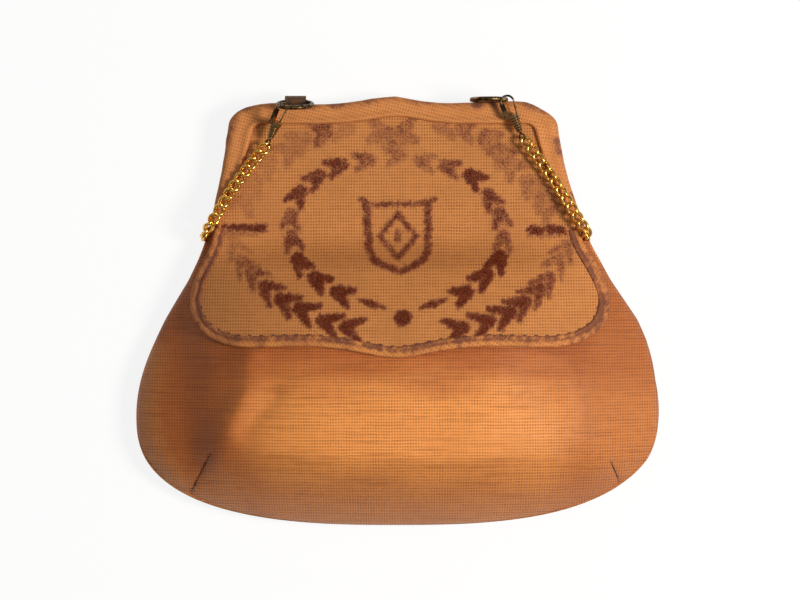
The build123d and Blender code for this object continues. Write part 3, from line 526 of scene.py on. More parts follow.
@dataclass(frozen=True)
class ClothFinish(Finish):
    """Woven cloth whose dark gaps lie in rows."""

    light: str
    dark: str
    patch: str
    stain_and_shade: str
    pitch: float = 2.05
    angle: float = 0.0
    gaps: float = 0.6
    slub: float = 0.3
    patches: float = 0.35
    roughness: float = 0.7
    sheen: float = 0.25
    relief: float = 0.5
    # Painted shade: the next two set how much the cloth darkens where its face turns away from the view, and
    # from what facing that starts
    glance_shade: float = 0.0
    glance_shade_start: float = 0.13
    # The next two set painted highlight and shade on the pouch's front: away from its painted sheen the
    # colour is multiplied towards this tint; on the pouch's back the same only varies the tone at random
    shade_and_fade: float = 0.0
    shade_and_fade_tint: str = "#c8aea6"
    lean: float = 0.0
    streaks: float = 0.1
    rise: float = 1.15

    def build(self) -> bpy.types.Material:
        """Make the material, which reads the mesh's stains with any painted shade, and its painted sheen and
        wear.
        """
        material, sheet = self.sheet()
        place = sheet.place()
        split = sheet.add("ShaderNodeSeparateXYZ", {0: place}).outputs
        lean = sheet.times(split[2], self.lean)
        across = sheet.math("ADD", split[0], lean)
        up = sheet.math("ADD", split[1], lean)
        flat = sheet.out("ShaderNodeCombineXYZ", {0: across, 1: up})
        turn = (0, 0, math.radians(self.angle))
        turned = sheet.out("ShaderNodeMapping", {"Vector": flat, "Rotation": turn})
        across_scale = math.pi / 10 / (self.pitch * MM)
        waves = []
        for way, scale in (("X", across_scale), ("Y", across_scale / self.rise)):
            inputs = {"Vector": turned, "Scale": scale, "Distortion": 1.5, "Detail": 2.0, "Detail Scale": 0.5}
            waves.append(sheet.add("ShaderNodeTexWave", inputs, bands_direction=way).outputs["Fac"])
        holes = sheet.ramp(sheet.times(*waves), 0.0, 0.8)
        dots = sheet.times(holes, sheet.ramp(sheet.noise(flat, 240.0, 3.0), 0.3, 0.65, 0.6, 1.0))
        thread_x = self.stretched(sheet, turned, (45, 1900, 1))
        thread_y = self.stretched(sheet, turned, (1900, 70, 1))
        threads = sheet.math("ADD", sheet.ramp(thread_x, 0.42, 0.72), sheet.ramp(thread_y, 0.5, 0.8))
        colour = sheet.tint(linear(self.light), dots, self.gaps, self.dark)
        colour = sheet.tint(colour, threads, self.slub, self.light)
        streak = sheet.ramp(self.stretched(sheet, turned, (28, 620, 1)), 0.5, 0.72)
        colour = sheet.tint(colour, streak, self.streaks, self.dark)
        cloud = sheet.ramp(sheet.noise(flat, 38.0, 4.0), 0.42, 0.75)
        colour = sheet.tint(colour, cloud, self.patches, self.patch)
        # Real stains from the mesh, and on the rolled binding also painted shade
        marked = sheet.value("stain_and_shade")
        grain = sheet.ramp(sheet.noise(flat, 900.0, 2.0), 0.3, 0.7, -0.35, 0.25)
        broken = sheet.math("ADD", marked, sheet.times(marked, grain))
        colour = sheet.mix(sheet.ramp(broken, 0.0, 0.75), colour, linear(self.stain_and_shade))
        # Painted highlight and shade: the colour is multiplied darker where the mesh's painted sheen is low
        if self.shade_and_fade:
            sheen_and_wear = sheet.value("sheen_and_wear")
            kept = sheet.math("SUBTRACT", 1.0, sheen_and_wear)
            colour = sheet.tint(colour, kept, self.shade_and_fade, self.shade_and_fade_tint, "MULTIPLY")
        # Painted shade where the face turns away from the view
        if self.glance_shade:
            glance = sheet.add("ShaderNodeLayerWeight", {"Blend": 0.5}).outputs["Facing"]
            colour = sheet.tint(colour, sheet.ramp(glance, 0.0, self.glance_shade_start), self.glance_shade, self.stain_and_shade)
        height = sheet.math("SUBTRACT", sheet.times(threads, 0.6), dots)
        sheet.surface(
            Base_Color=colour, Roughness=self.roughness, Specular_IOR_Level=0.25, Sheen_Weight=self.sheen,
            Sheen_Roughness=0.45, Sheen_Tint=linear(self.light), Normal=sheet.bump(self.relief, 0.25, height),
        )
        return material

    def stretched(self, sheet: NodeSheet, vector, scale: Point3) -> bpy.types.NodeSocket:
        """Return noise drawn out along the threads."""
        mapped = sheet.out("ShaderNodeMapping", {"Vector": vector, "Scale": scale})
        return sheet.noise(mapped, 1.0, 2.0)


@dataclass(frozen=True)
class PileFinish(Finish):
    """Short worn pile, darker where it stands thick."""

    worn: str
    thick: str
    tip: str

    def build(self) -> bpy.types.Material:
        """Make the material, which reads the mesh's pile."""
        material, sheet = self.sheet()
        place = sheet.place()
        amount = sheet.value("pile")
        colour = sheet.mix(sheet.ramp(amount, 0.3, 0.95), linear(self.worn), linear(self.thick))
        speck = sheet.ramp(sheet.noise(place, 1500.0, 2.0), 0.45, 0.8)
        colour = sheet.tint(colour, speck, 0.5, self.tip)
        sheet.surface(
            Base_Color=colour, Roughness=0.85, Specular_IOR_Level=0.15, Sheen_Weight=0.35,
            Sheen_Roughness=0.35, Sheen_Tint=linear(self.tip),
        )
        return material


@dataclass(frozen=True)
class MetalFinish(Finish):
    """Metal with tarnish in uneven patches."""

    bright: str
    dull: str
    tarnish: float
    roughness: float

    def build(self) -> bpy.types.Material:
        """Make the material."""
        material, sheet = self.sheet()
        place = sheet.place()
        cloud = sheet.noise(place, 420.0, 4.0)
        edge = sheet.ramp(sheet.add("ShaderNodeNewGeometry").outputs["Pointiness"], 0.48, 0.56, 0.25, -0.25)
        cover = sheet.ramp(sheet.math("ADD", cloud, edge), 0.75 - self.tarnish, 1.1 - self.tarnish)
        colour = sheet.mix(cover, linear(self.bright), linear(self.dull))
        rough = sheet.ramp(cover, 0.0, 1.0, self.roughness, self.roughness + 0.22)
        normal = sheet.bump(0.2, 0.05, sheet.noise(place, 1800.0))
        sheet.surface(Base_Color=colour, Metallic=1.0, Roughness=rough, Normal=normal)
        return material


@dataclass(frozen=True)
class SmoothFinish(Finish):
    """Leather, satin or board: one colour with fine grain."""

    light: str
    dark: str
    grain: float
    roughness: float
    sheen: float = 0.0

    def build(self) -> bpy.types.Material:
        """Make the material."""
        material, sheet = self.sheet()
        place = sheet.place()
        cloud = sheet.ramp(sheet.noise(place, 260.0, 4.0), 0.35, 0.7)
        grain = sheet.noise(place, self.grain, 2.0)
        colour = sheet.mix(cloud, linear(self.light), linear(self.dark))
        normal = sheet.bump(0.35, 0.15, grain)
        sheet.surface(Base_Color=colour, Roughness=self.roughness, Sheen_Weight=self.sheen, Normal=normal)
        return material


# Slubbed cotton with a silky weft: rows of tiny dark gaps, streaks along the weft, a painted highlight on the
# belly's crest with painted shade round it, and painted shade where it turns away from the view
POUCH_CLOTH = ClothFinish(
    "slubbed silky woven cotton", "pouch_cloth", "#ec984c", "#84441a", "#cf8040", "#5a3018", pitch=1.3,
    gaps=0.95, slub=0.35, patches=0.3, roughness=0.5, sheen=0.1, glance_shade=0.25, shade_and_fade=1.0, streaks=0.3,
)
# Bare ground of a voided velvet: the gaps show as plain rows without a shine, in faded patches
FLAP_CLOTH = ClothFinish(
    "woven velvet ground", "flap_cloth", "#c88246", "#743f18", "#ad6e3c", "#70392a", pitch=1.35,
    gaps=0.9, slub=0.3, patches=0.4, roughness=0.75, sheen=0.1,
)
# The ground cloth cut on the bias: its rows lean across the band, its rim is rubbed brown, and painted shade
# darkens it where it turns away from the view
BAND_CLOTH = ClothFinish(
    "bias-cut woven cotton", "band_cloth", "#d0864a", "#865026", "#b4703c", "#784834", pitch=1.4, angle=14.0,
    gaps=0.6, slub=0.2, patches=0.5, roughness=0.72, sheen=0.12, glance_shade=0.25, glance_shade_start=0.3, lean=0.5,
)
# A rolled strip of the same cloth: dull orange on its crown, mottled with brown stains, with painted shade in
# its crease and on its inner half, darker towards the sides, and painted shade where it turns away from the
# view
BINDING_CLOTH = ClothFinish(
    "rolled woven cotton", "binding_cloth", "#d08546", "#7a4422", "#a8643a", "#7a4630", pitch=1.6, angle=30.0,
    gaps=0.6, slub=0.2, patches=0.6, roughness=0.78, sheen=0.12, glance_shade=0.25, glance_shade_start=0.3, lean=0.5,
)
# Cut pile, worn short: matt red-brown, darkest where it still stands thick
PILE = PileFinish("worn cut velvet pile", "velvet_pile", "#a25a3c", "#84360f", "#984a26")
# Gilt brass wire, polished by handling: warm yellow glints, brown in its hollows
CHAIN_GILT = MetalFinish("polished gilt brass", "chain_gilt", "#eab75a", "#7a5018", 0.34, 0.22)
# Brass with a dark patina: nearly black, with thin pale glints on its high spots
ANTIQUE_BRASS = MetalFinish("patinated brass", "antique_brass", "#a8895a", "#32271a", 0.45, 0.17)
# Rolled steel strip, brass plated: an even, dull yellow
FRAME_STEEL = MetalFinish("brass-plated rolled steel", "frame_steel", "#c2ab7c", "#7d6a45", 0.2, 0.35)
# Glazed strap leather: smooth dark brown with a fine grain
TAB_LEATHER = SmoothFinish("glazed leather", "tab_leather", "#6a4622", "#452c13", 900.0, 0.45)
# Satin weave, too fine to show as threads: a smooth tan with a soft sheen
LINING = SmoothFinish("woven satin", "lining_satin", "#a9794c", "#8d6038", 2600.0, 0.4, 0.3)
# Millboard under thin cotton: matt tan
BOARD = SmoothFinish("cotton-covered board", "board", "#b8834f", "#9a6737", 2400.0, 0.85, 0.1)
# The pouch cloth's closed edge: a dark line
SEAM = SmoothFinish("folded cotton edge", "pouch_cloth", "#4a2614", "#351a0c", 3000.0, 0.9)
# Twisted cotton thread: matt brown
STITCH = SmoothFinish("cotton thread", "binding_cloth", "#6b4230", "#52301f", 3000.0, 0.8)


@dataclass
class Palette:
    """Builds each finish once."""

    made: dict[str, bpy.types.Material] = field(default_factory=dict)

    def get(self, finish: Finish) -> bpy.types.Material:
        """Return a finish's material, built at its first use."""
        if finish.name not in self.made:
            self.made[finish.name] = finish.build()
        return self.made[finish.name]


PALETTE = Palette()


# Meshes


def placed(name: str, data: bpy.types.ID) -> bpy.types.Object:
    """Put an object with its data in the scene."""
    made = bpy.data.objects.new(name, data)
    bpy.context.scene.collection.objects.link(made)
    return made


@dataclass
class Surface:
    """Points in millimetres and the faces between them."""

    points: Array
    faces: list[tuple[int, ...]]
    values: dict[str, Array] = field(default_factory=dict)

    def build(self, name: str, finish: Finish, thickness: float = 0.0) -> bpy.types.Object:
        """Make the object.

        Args:
            name: The piece's name.
            finish: What it is made of.
            thickness: How thick the surface is made, below its face.

        Returns:
            An object with one plain mesh.
        """
        mesh = bpy.data.meshes.new(name)
        mesh.from_pydata((settled(self.points) * MM).tolist(), [], self.faces)
        for key, value in self.values.items():
            mesh.attributes.new(key, "FLOAT", "POINT").data.foreach_set("value", value.astype(np.float32))
        mesh.materials.append(PALETTE.get(finish))
        made = placed(name, mesh)
        if thickness:
            solid = made.modifiers.new("thickness", "SOLIDIFY")
            solid.thickness = thickness * MM
            solid.offset = -1
            bake(made)
        else:
            outward(made.data)
        made.data.polygons.foreach_set("use_smooth", [True] * len(made.data.polygons))
        return made


def outward(mesh: bpy.types.Mesh) -> None:
    """Turn a closed mesh's faces outwards."""
    shape = bmesh.new()
    shape.from_mesh(mesh)
    bmesh.ops.recalc_face_normals(shape, faces=shape.faces)
    shape.to_mesh(mesh)
    shape.free()


def bake(made: bpy.types.Object) -> None:
    """Put an object's modifiers into its mesh."""
    bpy.context.view_layer.update()
    seen = made.evaluated_get(bpy.context.evaluated_depsgraph_get())
    mesh = bpy.data.meshes.new_from_object(seen)
    made.modifiers.clear()
    old, made.data = made.data, mesh
    bpy.data.meshes.remove(old)
    mesh.name = made.name


def grid_faces(rows: int, columns: int, first: int = 0) -> list[tuple[int, ...]]:
    """List the quads of a grid, facing up when columns run along x and rows along y."""
    return [
        (first + r * columns + c, first + r * columns + c + 1,
         first + (r + 1) * columns + c + 1, first + (r + 1) * columns + c)
        for r in range(rows - 1)
        for c in range(columns - 1)
    ]


def swept(sections: Array, values: dict[str, Array] | None = None) -> Surface:
    """Join closed sections, one after another, into a solid.

    Args:
        sections: Stations, points a section, 3.
        values: Attribute values for each section point.

    Returns:
        The closed surface.
    """
    stations, ring = sections.shape[:2]
    faces: list[tuple[int, ...]] = [
        (s * ring + p, s * ring + (p + 1) % ring, (s + 1) * ring + (p + 1) % ring, (s + 1) * ring + p)
        for s in range(stations - 1)
        for p in range(ring)
    ]
    faces.append(tuple(range(ring))[::-1])
    faces.append(tuple((stations - 1) * ring + p for p in range(ring)))
    return Surface(sections.reshape(-1, 3), faces, {k: v.reshape(-1) for k, v in (values or {}).items()})


@dataclass(frozen=True)
class PouchPlan:
    """Grid that fills the pouch's outline: rows above the belly and a fan below."""

    shares: int = 72
    rays: int = 150
    rows: int = 66

    def lay(self) -> tuple[Array, Array, Array, list[tuple[int, ...]]]:
        """Lay the grid: the x, y and edge share of each point, and the faces, facing up."""
        columns = 2 * self.shares + 1
        share = np.linspace(-1, 1, columns)
        height = np.linspace(BELLY_Y, POUCH_TOP_Y, self.rows)
        x = (share[None, :] * half_width(height)[:, None]).ravel()
        y = np.repeat(height, columns)
        angle = np.linspace(0, math.pi, self.rays + 1)[1:-1]
        ring = np.linspace(0, 1, self.shares + 1)[1:]
        power = 2 / PLAN_ROUNDNESS
        c = np.sign(np.cos(angle)) * np.abs(np.cos(angle)) ** power
        s = np.abs(np.sin(angle)) ** power
        first = len(x)
        shares = np.concatenate([np.abs(np.tile(share, self.rows)), np.tile(ring, self.rays - 1)])
        x = np.concatenate([x, (BELLY_HALF_WIDTH * c[:, None] * ring[None, :]).ravel()])
        y = np.concatenate([y, (BELLY_Y - BASE_DROP * s[:, None] * ring[None, :]).ravel()])

        def index(ray: int, step: int) -> int:
            if step == 0:
                return self.shares
            if ray == 0:
                return self.shares + step
            if ray == self.rays:
                return self.shares - step
            return first + (ray - 1) * self.shares + step - 1

        faces = grid_faces(self.rows, columns)
        for ray in range(self.rays):
            faces.append((self.shares, index(ray + 1, 1), index(ray, 1)))
            for step in range(1, self.shares):
                corners = ((ray, step), (ray + 1, step), (ray + 1, step + 1), (ray, step + 1))
                faces.append(tuple(index(*corner) for corner in corners))
        return x, y, shares, faces


@dataclass(frozen=True)
class Crease:
    """A ridge or fold along a line: height above 0 or below, and its width."""

    points: tuple[Point2, ...]
    height: float
    width: float

    def lift(self, x: Array, y: Array) -> Array:
        """How far the crease moves each place."""
        best = np.full(x.shape, 1e9)
        for start, end in zip(self.points, self.points[1:]):
            best = np.minimum(best, beside(x, y, start, end)[1])
        return self.height * np.exp(-((best / self.width) ** 2))


DARTS: tuple[Crease, ...] = (
    Crease(((-90.7, -69.8), (-104, -93)), -1.3, 0.9),
    Crease(((106, -75), (113.2, -86.2)), -1.1, 0.9),
)
POUCH_CREASES: tuple[Crease, ...] = (
    Crease(((-90.5, -70), (-83, -60), (-77.5, -49), (-73, -35), (-71, -22)), 2.4, 8.0),
    Crease(((-98, -70), (-102.5, -58), (-104, -44), (-105, -25), (-108, -8)), -3.2, 11.0),
    Crease(((102, -74), (94, -54), (90, -34)), 2.4, 11.0),
    Crease(((-60, -42), (-74, -58)), -0.9, 5.0),
    Crease(((-84, -70), (-40, -72), (20, -73), (80, -72), (104, -74)), 1.6, 12.0),
    Crease(((-112, -84), (-121, -66), (-124, -50), (-122, -25)), 1.4, 6.5),
    Crease(((112, -52), (118, -66)), 1.2, 9.0),
    Crease(((60, -26), (74, -44)), -1.0, 7.0),
    Crease(((-70, -30), (-88, -46)), -0.9, 6.0),
)
# Lines that deepen the pouch's painted shade in its left hollow and put a painted highlight on its left rim
VALLEY = Crease(((-98, -72), (-102.5, -58), (-104, -44), (-105, -25), (-108, -8)), 1.0, 13.0)
LEFT_RIM = Crease(((-108, -86), (-119, -72), (-124, -50), (-122, -22)), 1.0, 7.0)


def painted_sheen_and_shade(x: Array, y: Array) -> Array:
    """How much painted highlight the pouch's cloth gets at each place, 0 to 1; where it is low, painted shade
    darkens the cloth.

    Args:
        x: Places across.
        y: Places up.

    Returns:
        Most on the belly's crest, on its sides and on the left rim, where the painted highlight lies; least
        below the flap and in the left hollow, where painted shade lies.
    """
    streaks = 4.5 * wobble(x * 0.12, y, 7, 51)
    crest = smoothstep((-20 - y + streaks) / 30) * (1 - 0.4 * smoothstep((-70 - y + streaks) / 22))
    crest = crest * (1 - 0.55 * smoothstep((x - 66) / 30))
    right = 0.12 * smoothstep((x - 84) / 16)
    sheen_and_wear = np.maximum(crest * smoothstep((x + 96) / 44), right)
    sheen_and_wear = np.maximum(sheen_and_wear, (0.3 + 0.35 * smoothstep((-60 - x) / 30)) * smoothstep((-66 - y) / 20))
    sheen_and_wear = sheen_and_wear * (1 - VALLEY.lift(x, y))
    return np.clip(np.maximum(sheen_and_wear, 0.7 * LEFT_RIM.lift(x, y)), 0, 1)


def belly(x: Array, y: Array, share: Array) -> Array:
    """Height of the pouch's front at places of a share of the way to its seam, with creases and darts."""
    inner = 1 - share**14
    low = 1 - smoothstep((y - 5) / 20)
    z = FRONT_RIM_Z + swell(x, y)
    for crease in POUCH_CREASES:
        z = z + crease.lift(x, y) * inner * low
    for dart in DARTS:
        z = z + dart.lift(x, y)
    z = z + 0.4 * wobble(x, y, 42, 3) * inner * low + 0.14 * wobble(x * 0.25, y, 9, 4) * inner * low
    return z - (FRONT_RIM_Z - SEAM_Z) * share**50


def back_height(x: Array, y: Array, share: Array) -> Array:
    """Height of the pouch's back, which lies on the floor below the hinge."""
    climb = np.clip((y - 5) / 38, 0, 1)
    z = BACK_RIM_Z * (1 - (1 - share**7) * np.cos(math.pi / 2 * climb) ** 2)
    z = z + (SEAM_Z - BACK_RIM_Z) * share**50
    return z + 0.25 * (wobble(x, y, 36, 5) + 1) * (1 - share**4) * (1 - climb)


def report(made: bpy.types.Object) -> None:
    """Report a finished piece."""
    LOG.info("%s: %d faces", made.name, len(made.data.polygons))


class Bend(Enum):
    """Where a piece would bend with the frame's hinge: from and to these heights, in metres, which its bend
    does not use.
    """

    MOUTH = (0.018, 0.043)
    FLAP = (0.030, 0.044)
    CHAIN = (0.033, 0.041)

    def bend(self, made: bpy.types.Object) -> None:
        """Bake a piece's placing into its mesh; it follows neither the bag nor the frame's front half."""
        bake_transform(made)


@dataclass(frozen=True)
class Pouch:
    """The pouch: its full front, its darts, its flatter back and its lining."""

    cloth: float = 1.3
    lining_gap: float = 0.15
    lining_thickness: float = 0.3
    lining_width: float = 0.985
    lining_drop: float = 0.97
    seam_radius: float = 0.45
    seam_lift: float = 0.3
    seam_stations: int = 24
    seam_sides: int = 8
    seam_end: float = 0.97
    finish: Finish = POUCH_CLOTH
    lining_finish: Finish = LINING
    seam_finish: Finish = SEAM

    def build(self) -> None:
        """Build the pouch's pieces in order."""
        self.front()
        self.dart_seams()
        self.back()
        self.lining()

    def front(self) -> None:
        """Make the pouch's full front, with its darts and creases."""
        x, y, share, faces = PouchPlan().lay()
        stain_and_shade = np.zeros(x.shape)
        for dart in DARTS:
            stain_and_shade = np.maximum(stain_and_shade, -0.4 * Crease(dart.points, -1, 0.6).lift(x, y))
        points = np.stack([x, y, belly(x, y, share)], 1)
        # The front's painted highlight and shade go into the mesh with its dart stains
        values = {"stain_and_shade": stain_and_shade, "sheen_and_wear": painted_sheen_and_shade(x, y)}
        made = Surface(points, faces, values).build("pouch_front_cloth", self.finish, self.cloth)
        Bend.MOUTH.bend(made)
        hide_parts("pouch_front")
        report(made)

    def dart_seams(self) -> None:
        """Make the closed seam line of each dart."""
        angle = np.linspace(0, 2 * math.pi, self.seam_sides + 1)[:-1]
        for name, dart in zip(("left_dart_seam", "right_dart_seam"), DARTS):
            line = resampled(np.array(dart.points, float), self.seam_stations)
            share = edge_share(line[:, 0], line[:, 1])
            line, share = line[share < self.seam_end], share[share < self.seam_end]
            z = belly(line[:, 0], line[:, 1], share) + self.seam_lift
            radius = self.seam_radius * (0.35 + 0.65 * smoothstep(np.linspace(0, 4, len(line))))[:, None]
            x = line[:, 0][:, None] + radius * np.cos(angle)[None, :]
            y = np.repeat(line[:, 1][:, None], self.seam_sides, axis=1)
            rings = np.stack([x, y, z[:, None] + radius * np.sin(angle)[None, :]], 2)
            made = swept(rings).build(name, self.seam_finish)
            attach(made, Body.BAG.value)
            report(made)

    def back(self) -> None:
        """Make the pouch's flatter back, which the bag lies on."""
        x, y, share, faces = PouchPlan(shares=60, rays=120, rows=56).lay()
        points = np.stack([x, y, back_height(x, y, share)], 1)
        # On the back the same attribute only varies the tone at random
        sheen_and_wear = 0.35 + 0.35 * smoothstep(0.5 + 0.5 * wobble(x, y, 60, 52))
        surface = Surface(points, [face[::-1] for face in faces], {"sheen_and_wear": sheen_and_wear})
        made = surface.build("pouch_back_cloth", self.finish, self.cloth)
        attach(made, Body.BAG.value)
        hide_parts("pouch_back")
        report(made)

    def lining(self) -> None:
        """Make the lining's two sides, just inside the pouch."""
        x, y, share, faces = PouchPlan(shares=40, rays=80, rows=40).lay()
        drop = np.where(y < BELLY_Y, self.lining_drop, 1.0)
        inward = np.stack([x * self.lining_width, BELLY_Y + (y - BELLY_Y) * drop], 1)
        front = np.column_stack([inward, belly(x, y, share) - self.cloth - self.lining_gap])
        back = np.column_stack([inward, back_height(x, y, share) + self.cloth + self.lining_gap])
        back[:, 2] = np.minimum(back[:, 2], front[:, 2])
        for name, points, order in (("lining_front", front, 1), ("lining_back", back, -1)):
            surface = Surface(points, [face[::order] for face in faces])
            made = surface.build(name, self.lining_finish, self.lining_thickness)
            if order == 1:
                Bend.MOUTH.bend(made)
            else:
                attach(made, Body.BAG.value)
            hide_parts("lining")
            report(made)


def window_half() -> Array:
    """Trace the right half of the frame's window, from the arm's end to the top middle."""
    y = np.linspace(ARM_END_Y, WINDOW_TOP_Y - WINDOW_CORNER, 160)
    side = np.stack([window_side(y), y], 1)
    angle = np.linspace(0, math.pi / 2, 40)[1:]
    middle = side[-1] - (WINDOW_CORNER, 0)
    corner = middle + WINDOW_CORNER * np.stack([np.cos(angle), np.sin(angle)], 1)
    x = np.linspace(corner[-1, 0], 0, 200)[1:]
    top = np.stack([x, np.full(x.shape, WINDOW_TOP_Y)], 1)
    line = np.concatenate([side, corner, top])
    line[:, 1] += peak(line[:, 0])
    return line


def frame_half() -> Array:
    """Trace the right half of the frame's outer edge, from the arm's end to the top middle."""
    y = np.linspace(ARM_END_Y, SHOULDER_Y, 160)
    side = np.stack([half_width(y), y], 1)
    angle = np.linspace(math.pi / 2, 0, 400)[1:]
    x = SHOULDER_HALF_WIDTH * np.sin(angle) ** (2 / TOP_CORNER_POWER)
    top = SHOULDER_Y + FRAME_TOP_RISE * np.cos(angle) ** 0.8 + peak(x)
    return np.concatenate([side, np.stack([x, top], 1)])


# How far the worn frame's cover stands up along its top: places across, then rises
PUFF_FOOT_Y = 88
PUFF_BLEND = 8
PUFF_PLACES = (-86, -82, -78, -74, -62, -56, -44, -34, -22, -6, 6, 14, 22, 30, 40, 50, 58, 66, 70, 74, 80)
PUFF_RISES = (
    0.0, 0.6, 1.5, 2.0, 2.0, 1.7, 0.4, 0.5, 1.0, 1.2, 0.5, 0.1, 0.5, 0.9, 1.4, 2.1, 2.6, 2.9, 2.2, 1.0, 0.0,
)


def puff(x: Array, y: Array) -> Array:
    """How far the frame's cover stands up at its top edge."""
    return np.interp(x, PUFF_PLACES, PUFF_RISES) * smoothstep((y - PUFF_FOOT_Y) / PUFF_BLEND)


def matched(line: Array) -> Array:
    """Space a half outline's points so that the arm, corner and top each have their own share."""
    first = int(np.argmax(line[:, 1] > SIDE_END_Y))
    last = int(np.argmax((line[:, 0] < TOP_START_X) & (line[:, 1] > SIDE_END_Y)))
    arm = resampled(line[: first + 1], ARM_POINTS)
    corner = resampled(line[first : last + 1], CORNER_POINTS)
    top = resampled(line[last:], TOP_POINTS)
    return np.concatenate([arm, corner[1:], top[1:]])


# Where the frame's sides end and its top begins, and how many points its arm, corner and top have
SIDE_END_Y = 84
TOP_START_X = 60
ARM_POINTS = 50
CORNER_POINTS = 34
TOP_POINTS = 70

# Section of the frame's cover: share of the way from its outer edge to its window, then share of its rise
COVER_SECTION: tuple[Point2, ...] = (
    (0.02, 0.0), (0.0, 0.16), (0.0, 0.36), (0.03, 0.56), (0.09, 0.72), (0.18, 0.82), (0.30, 0.87),
    (0.44, 0.87), (0.56, 0.86), (0.66, 0.88), (0.74, 0.93), (0.82, 0.99), (0.89, 1.0), (0.95, 0.94),
    (0.99, 0.82), (1.0, 0.62), (1.0, 0.3), (0.98, 0.0), (0.75, 0.0), (0.5, 0.0), (0.25, 0.0),
)


@dataclass(frozen=True)
class FrameCover:
    """The padded band round one half of the frame."""

    name: str
    node: str
    body: Body
    foot_z: float
    crown_z: float
    unevenness: float
    finish: Finish = BAND_CLOTH

    def build(self) -> None:
        """Make the padded band, which rides its half of the frame."""
        outer, window = matched(frame_half()), matched(window_half())
        outer, window = (np.concatenate([line * (-1, 1), line[::-1][1:]]) for line in (outer, window))
        outer[:, 1] += puff(outer[:, 0], outer[:, 1])
        section = np.array(COVER_SECTION)
        share, rise = section[:, 0][None, :], section[:, 1][None, :]
        x = outer[:, 0][:, None] * (1 - share) + window[:, 0][:, None] * share
        y = outer[:, 1][:, None] * (1 - share) + window[:, 1][:, None] * share
        uneven = wobble(x, y, 17, 21) * rise
        z = self.foot_z + (self.crown_z - self.foot_z) * rise + self.unevenness * uneven
        lip = np.exp(-(((share - 0.9) / 0.12) ** 2))
        x = x + 0.3 * wobble(x, y, 11, 22) * (1 - lip) * rise
        y = y + 0.3 * wobble(x, y, 13, 23) * (1 - lip) * rise
        rim = np.exp(-(((share - 0.12) / 0.2) ** 2)) * (rise > 0.1)
        stain_and_shade = rim * np.clip(0.15 + 0.75 * wobble(x, y, 19, 24) + 0.35 * wobble(x, y, 6, 25), 0, 0.85)
        made = swept(np.stack([x, y, z], 2), {"stain_and_shade": stain_and_shade}).build(self.name, self.finish)
        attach(made, self.body.value)
        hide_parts(self.node)
        report(made)


FRAME_COVERS: tuple[FrameCover, ...] = (
    FrameCover("front_frame_band", "front_frame_cover", Body.FRONT, 11.4, 18.0, 0.2),
    FrameCover("back_frame_band", "back_frame_cover", Body.BAG, 11.0, 4.0, 0.15),
)


def apron_edge(count: int = 420) -> Array:
    """Trace the flap's free edge from its upper left corner round to its upper right."""
    right = list(APRON_EDGE)
    left = [(-x, y) for x, y in right[:-1]]
    return cubic_path(left + right[::-1], count)


def inset(line: Array, distance: float) -> Array:
    """Move a line, that runs anticlockwise round the flap, inwards."""
    way = np.gradient(line, axis=0)
    way /= np.linalg.norm(way, axis=1)[:, None]
    return line + distance * np.stack([-way[:, 1], way[:, 0]], 1)


def flap_outline(tuck: float, under: float) -> Array:
    """Trace the flap: its window part grown by tuck, and its apron shrunk by under."""
    grown = inset(window_half(), -tuck)
    return np.concatenate([inset(apron_edge(300), under), grown, grown[::-1][1:] * (-1, 1)])


@dataclass(frozen=True)
class FlapGrid:
    """Even grid of the flap's face, tucked under the frame's cover and held back from its own edge."""

    step: float
    half_width: float = 105.0
    low_y: float = -25.0
    high_y: float = 100.0
    tuck: float = 1.2
    under: float = 1.6

    def lay(self, floor: float = -1.0) -> tuple[Array, Array, Array, list[tuple[int, ...]]]:
        """Lay the grid where the flap is.

        Args:
            floor: The least pile at which a cell is kept.

        Returns:
            The x, y and pile amount of each point, and the faces.
        """
        xs = np.arange(-self.half_width, self.half_width + self.step, self.step)
        ys = np.arange(self.low_y, self.high_y + self.step, self.step)
        x, y = (grid.ravel() for grid in np.meshgrid(xs, ys))
        amount = pile_amount(x, y)
        kept = inside(x, y, flap_outline(self.tuck, self.under)) & (amount > floor)
        faces = [face for face in grid_faces(len(ys), len(xs)) if all(kept[i] for i in face)]
        used = np.unique(np.array(faces))
        fresh = np.full(len(x), -1)
        fresh[used] = np.arange(len(used))
        return x[used], y[used], amount[used], [tuple(int(fresh[i]) for i in face) for face in faces]


def flap_face(x: Array, y: Array) -> Array:
    """Height of the flap's face with its soft unevenness."""
    soft = smoothstep((60 - y) / 60)
    return flap_height(x, y) + (0.12 + 0.3 * soft) * wobble(x, y, 34, 31)


def new_tree(name: str, inputs: dict[str, str]) -> tuple[bpy.types.GeometryNodeTree, NodeSheet, list]:
    """Start a node tree that takes a mesh and named inputs, and gives back a mesh.

    Args:
        name: The tree's name.
        inputs: The name of each input to its socket's type.

    Returns:
        The tree, its node sheet and the sockets of its inputs.
    """
    tree = bpy.data.node_groups.new(name, "GeometryNodeTree")
    tree.interface.new_socket("Geometry", in_out="INPUT", socket_type="NodeSocketGeometry")
    for key, kind in inputs.items():
        tree.interface.new_socket(key, in_out="INPUT", socket_type="NodeSocket" + kind)
    tree.interface.new_socket("Geometry", in_out="OUTPUT", socket_type="NodeSocketGeometry")
    sheet = NodeSheet(tree)
    return tree, sheet, sheet.add("NodeGroupInput").outputs


TUFT_INPUTS = {
    "Density": "Float", "Length": "Float", "Radius": "Float", "Lean": "Float", "Seed": "Int",
    "Material": "Material",
}
LINK_INPUTS = {
    "Pitch": "Float", "Half Length": "Float", "Half Width": "Float", "Wire Radius": "Float",
    "Twist": "Float", "Roll": "Float", "Material": "Material",
}


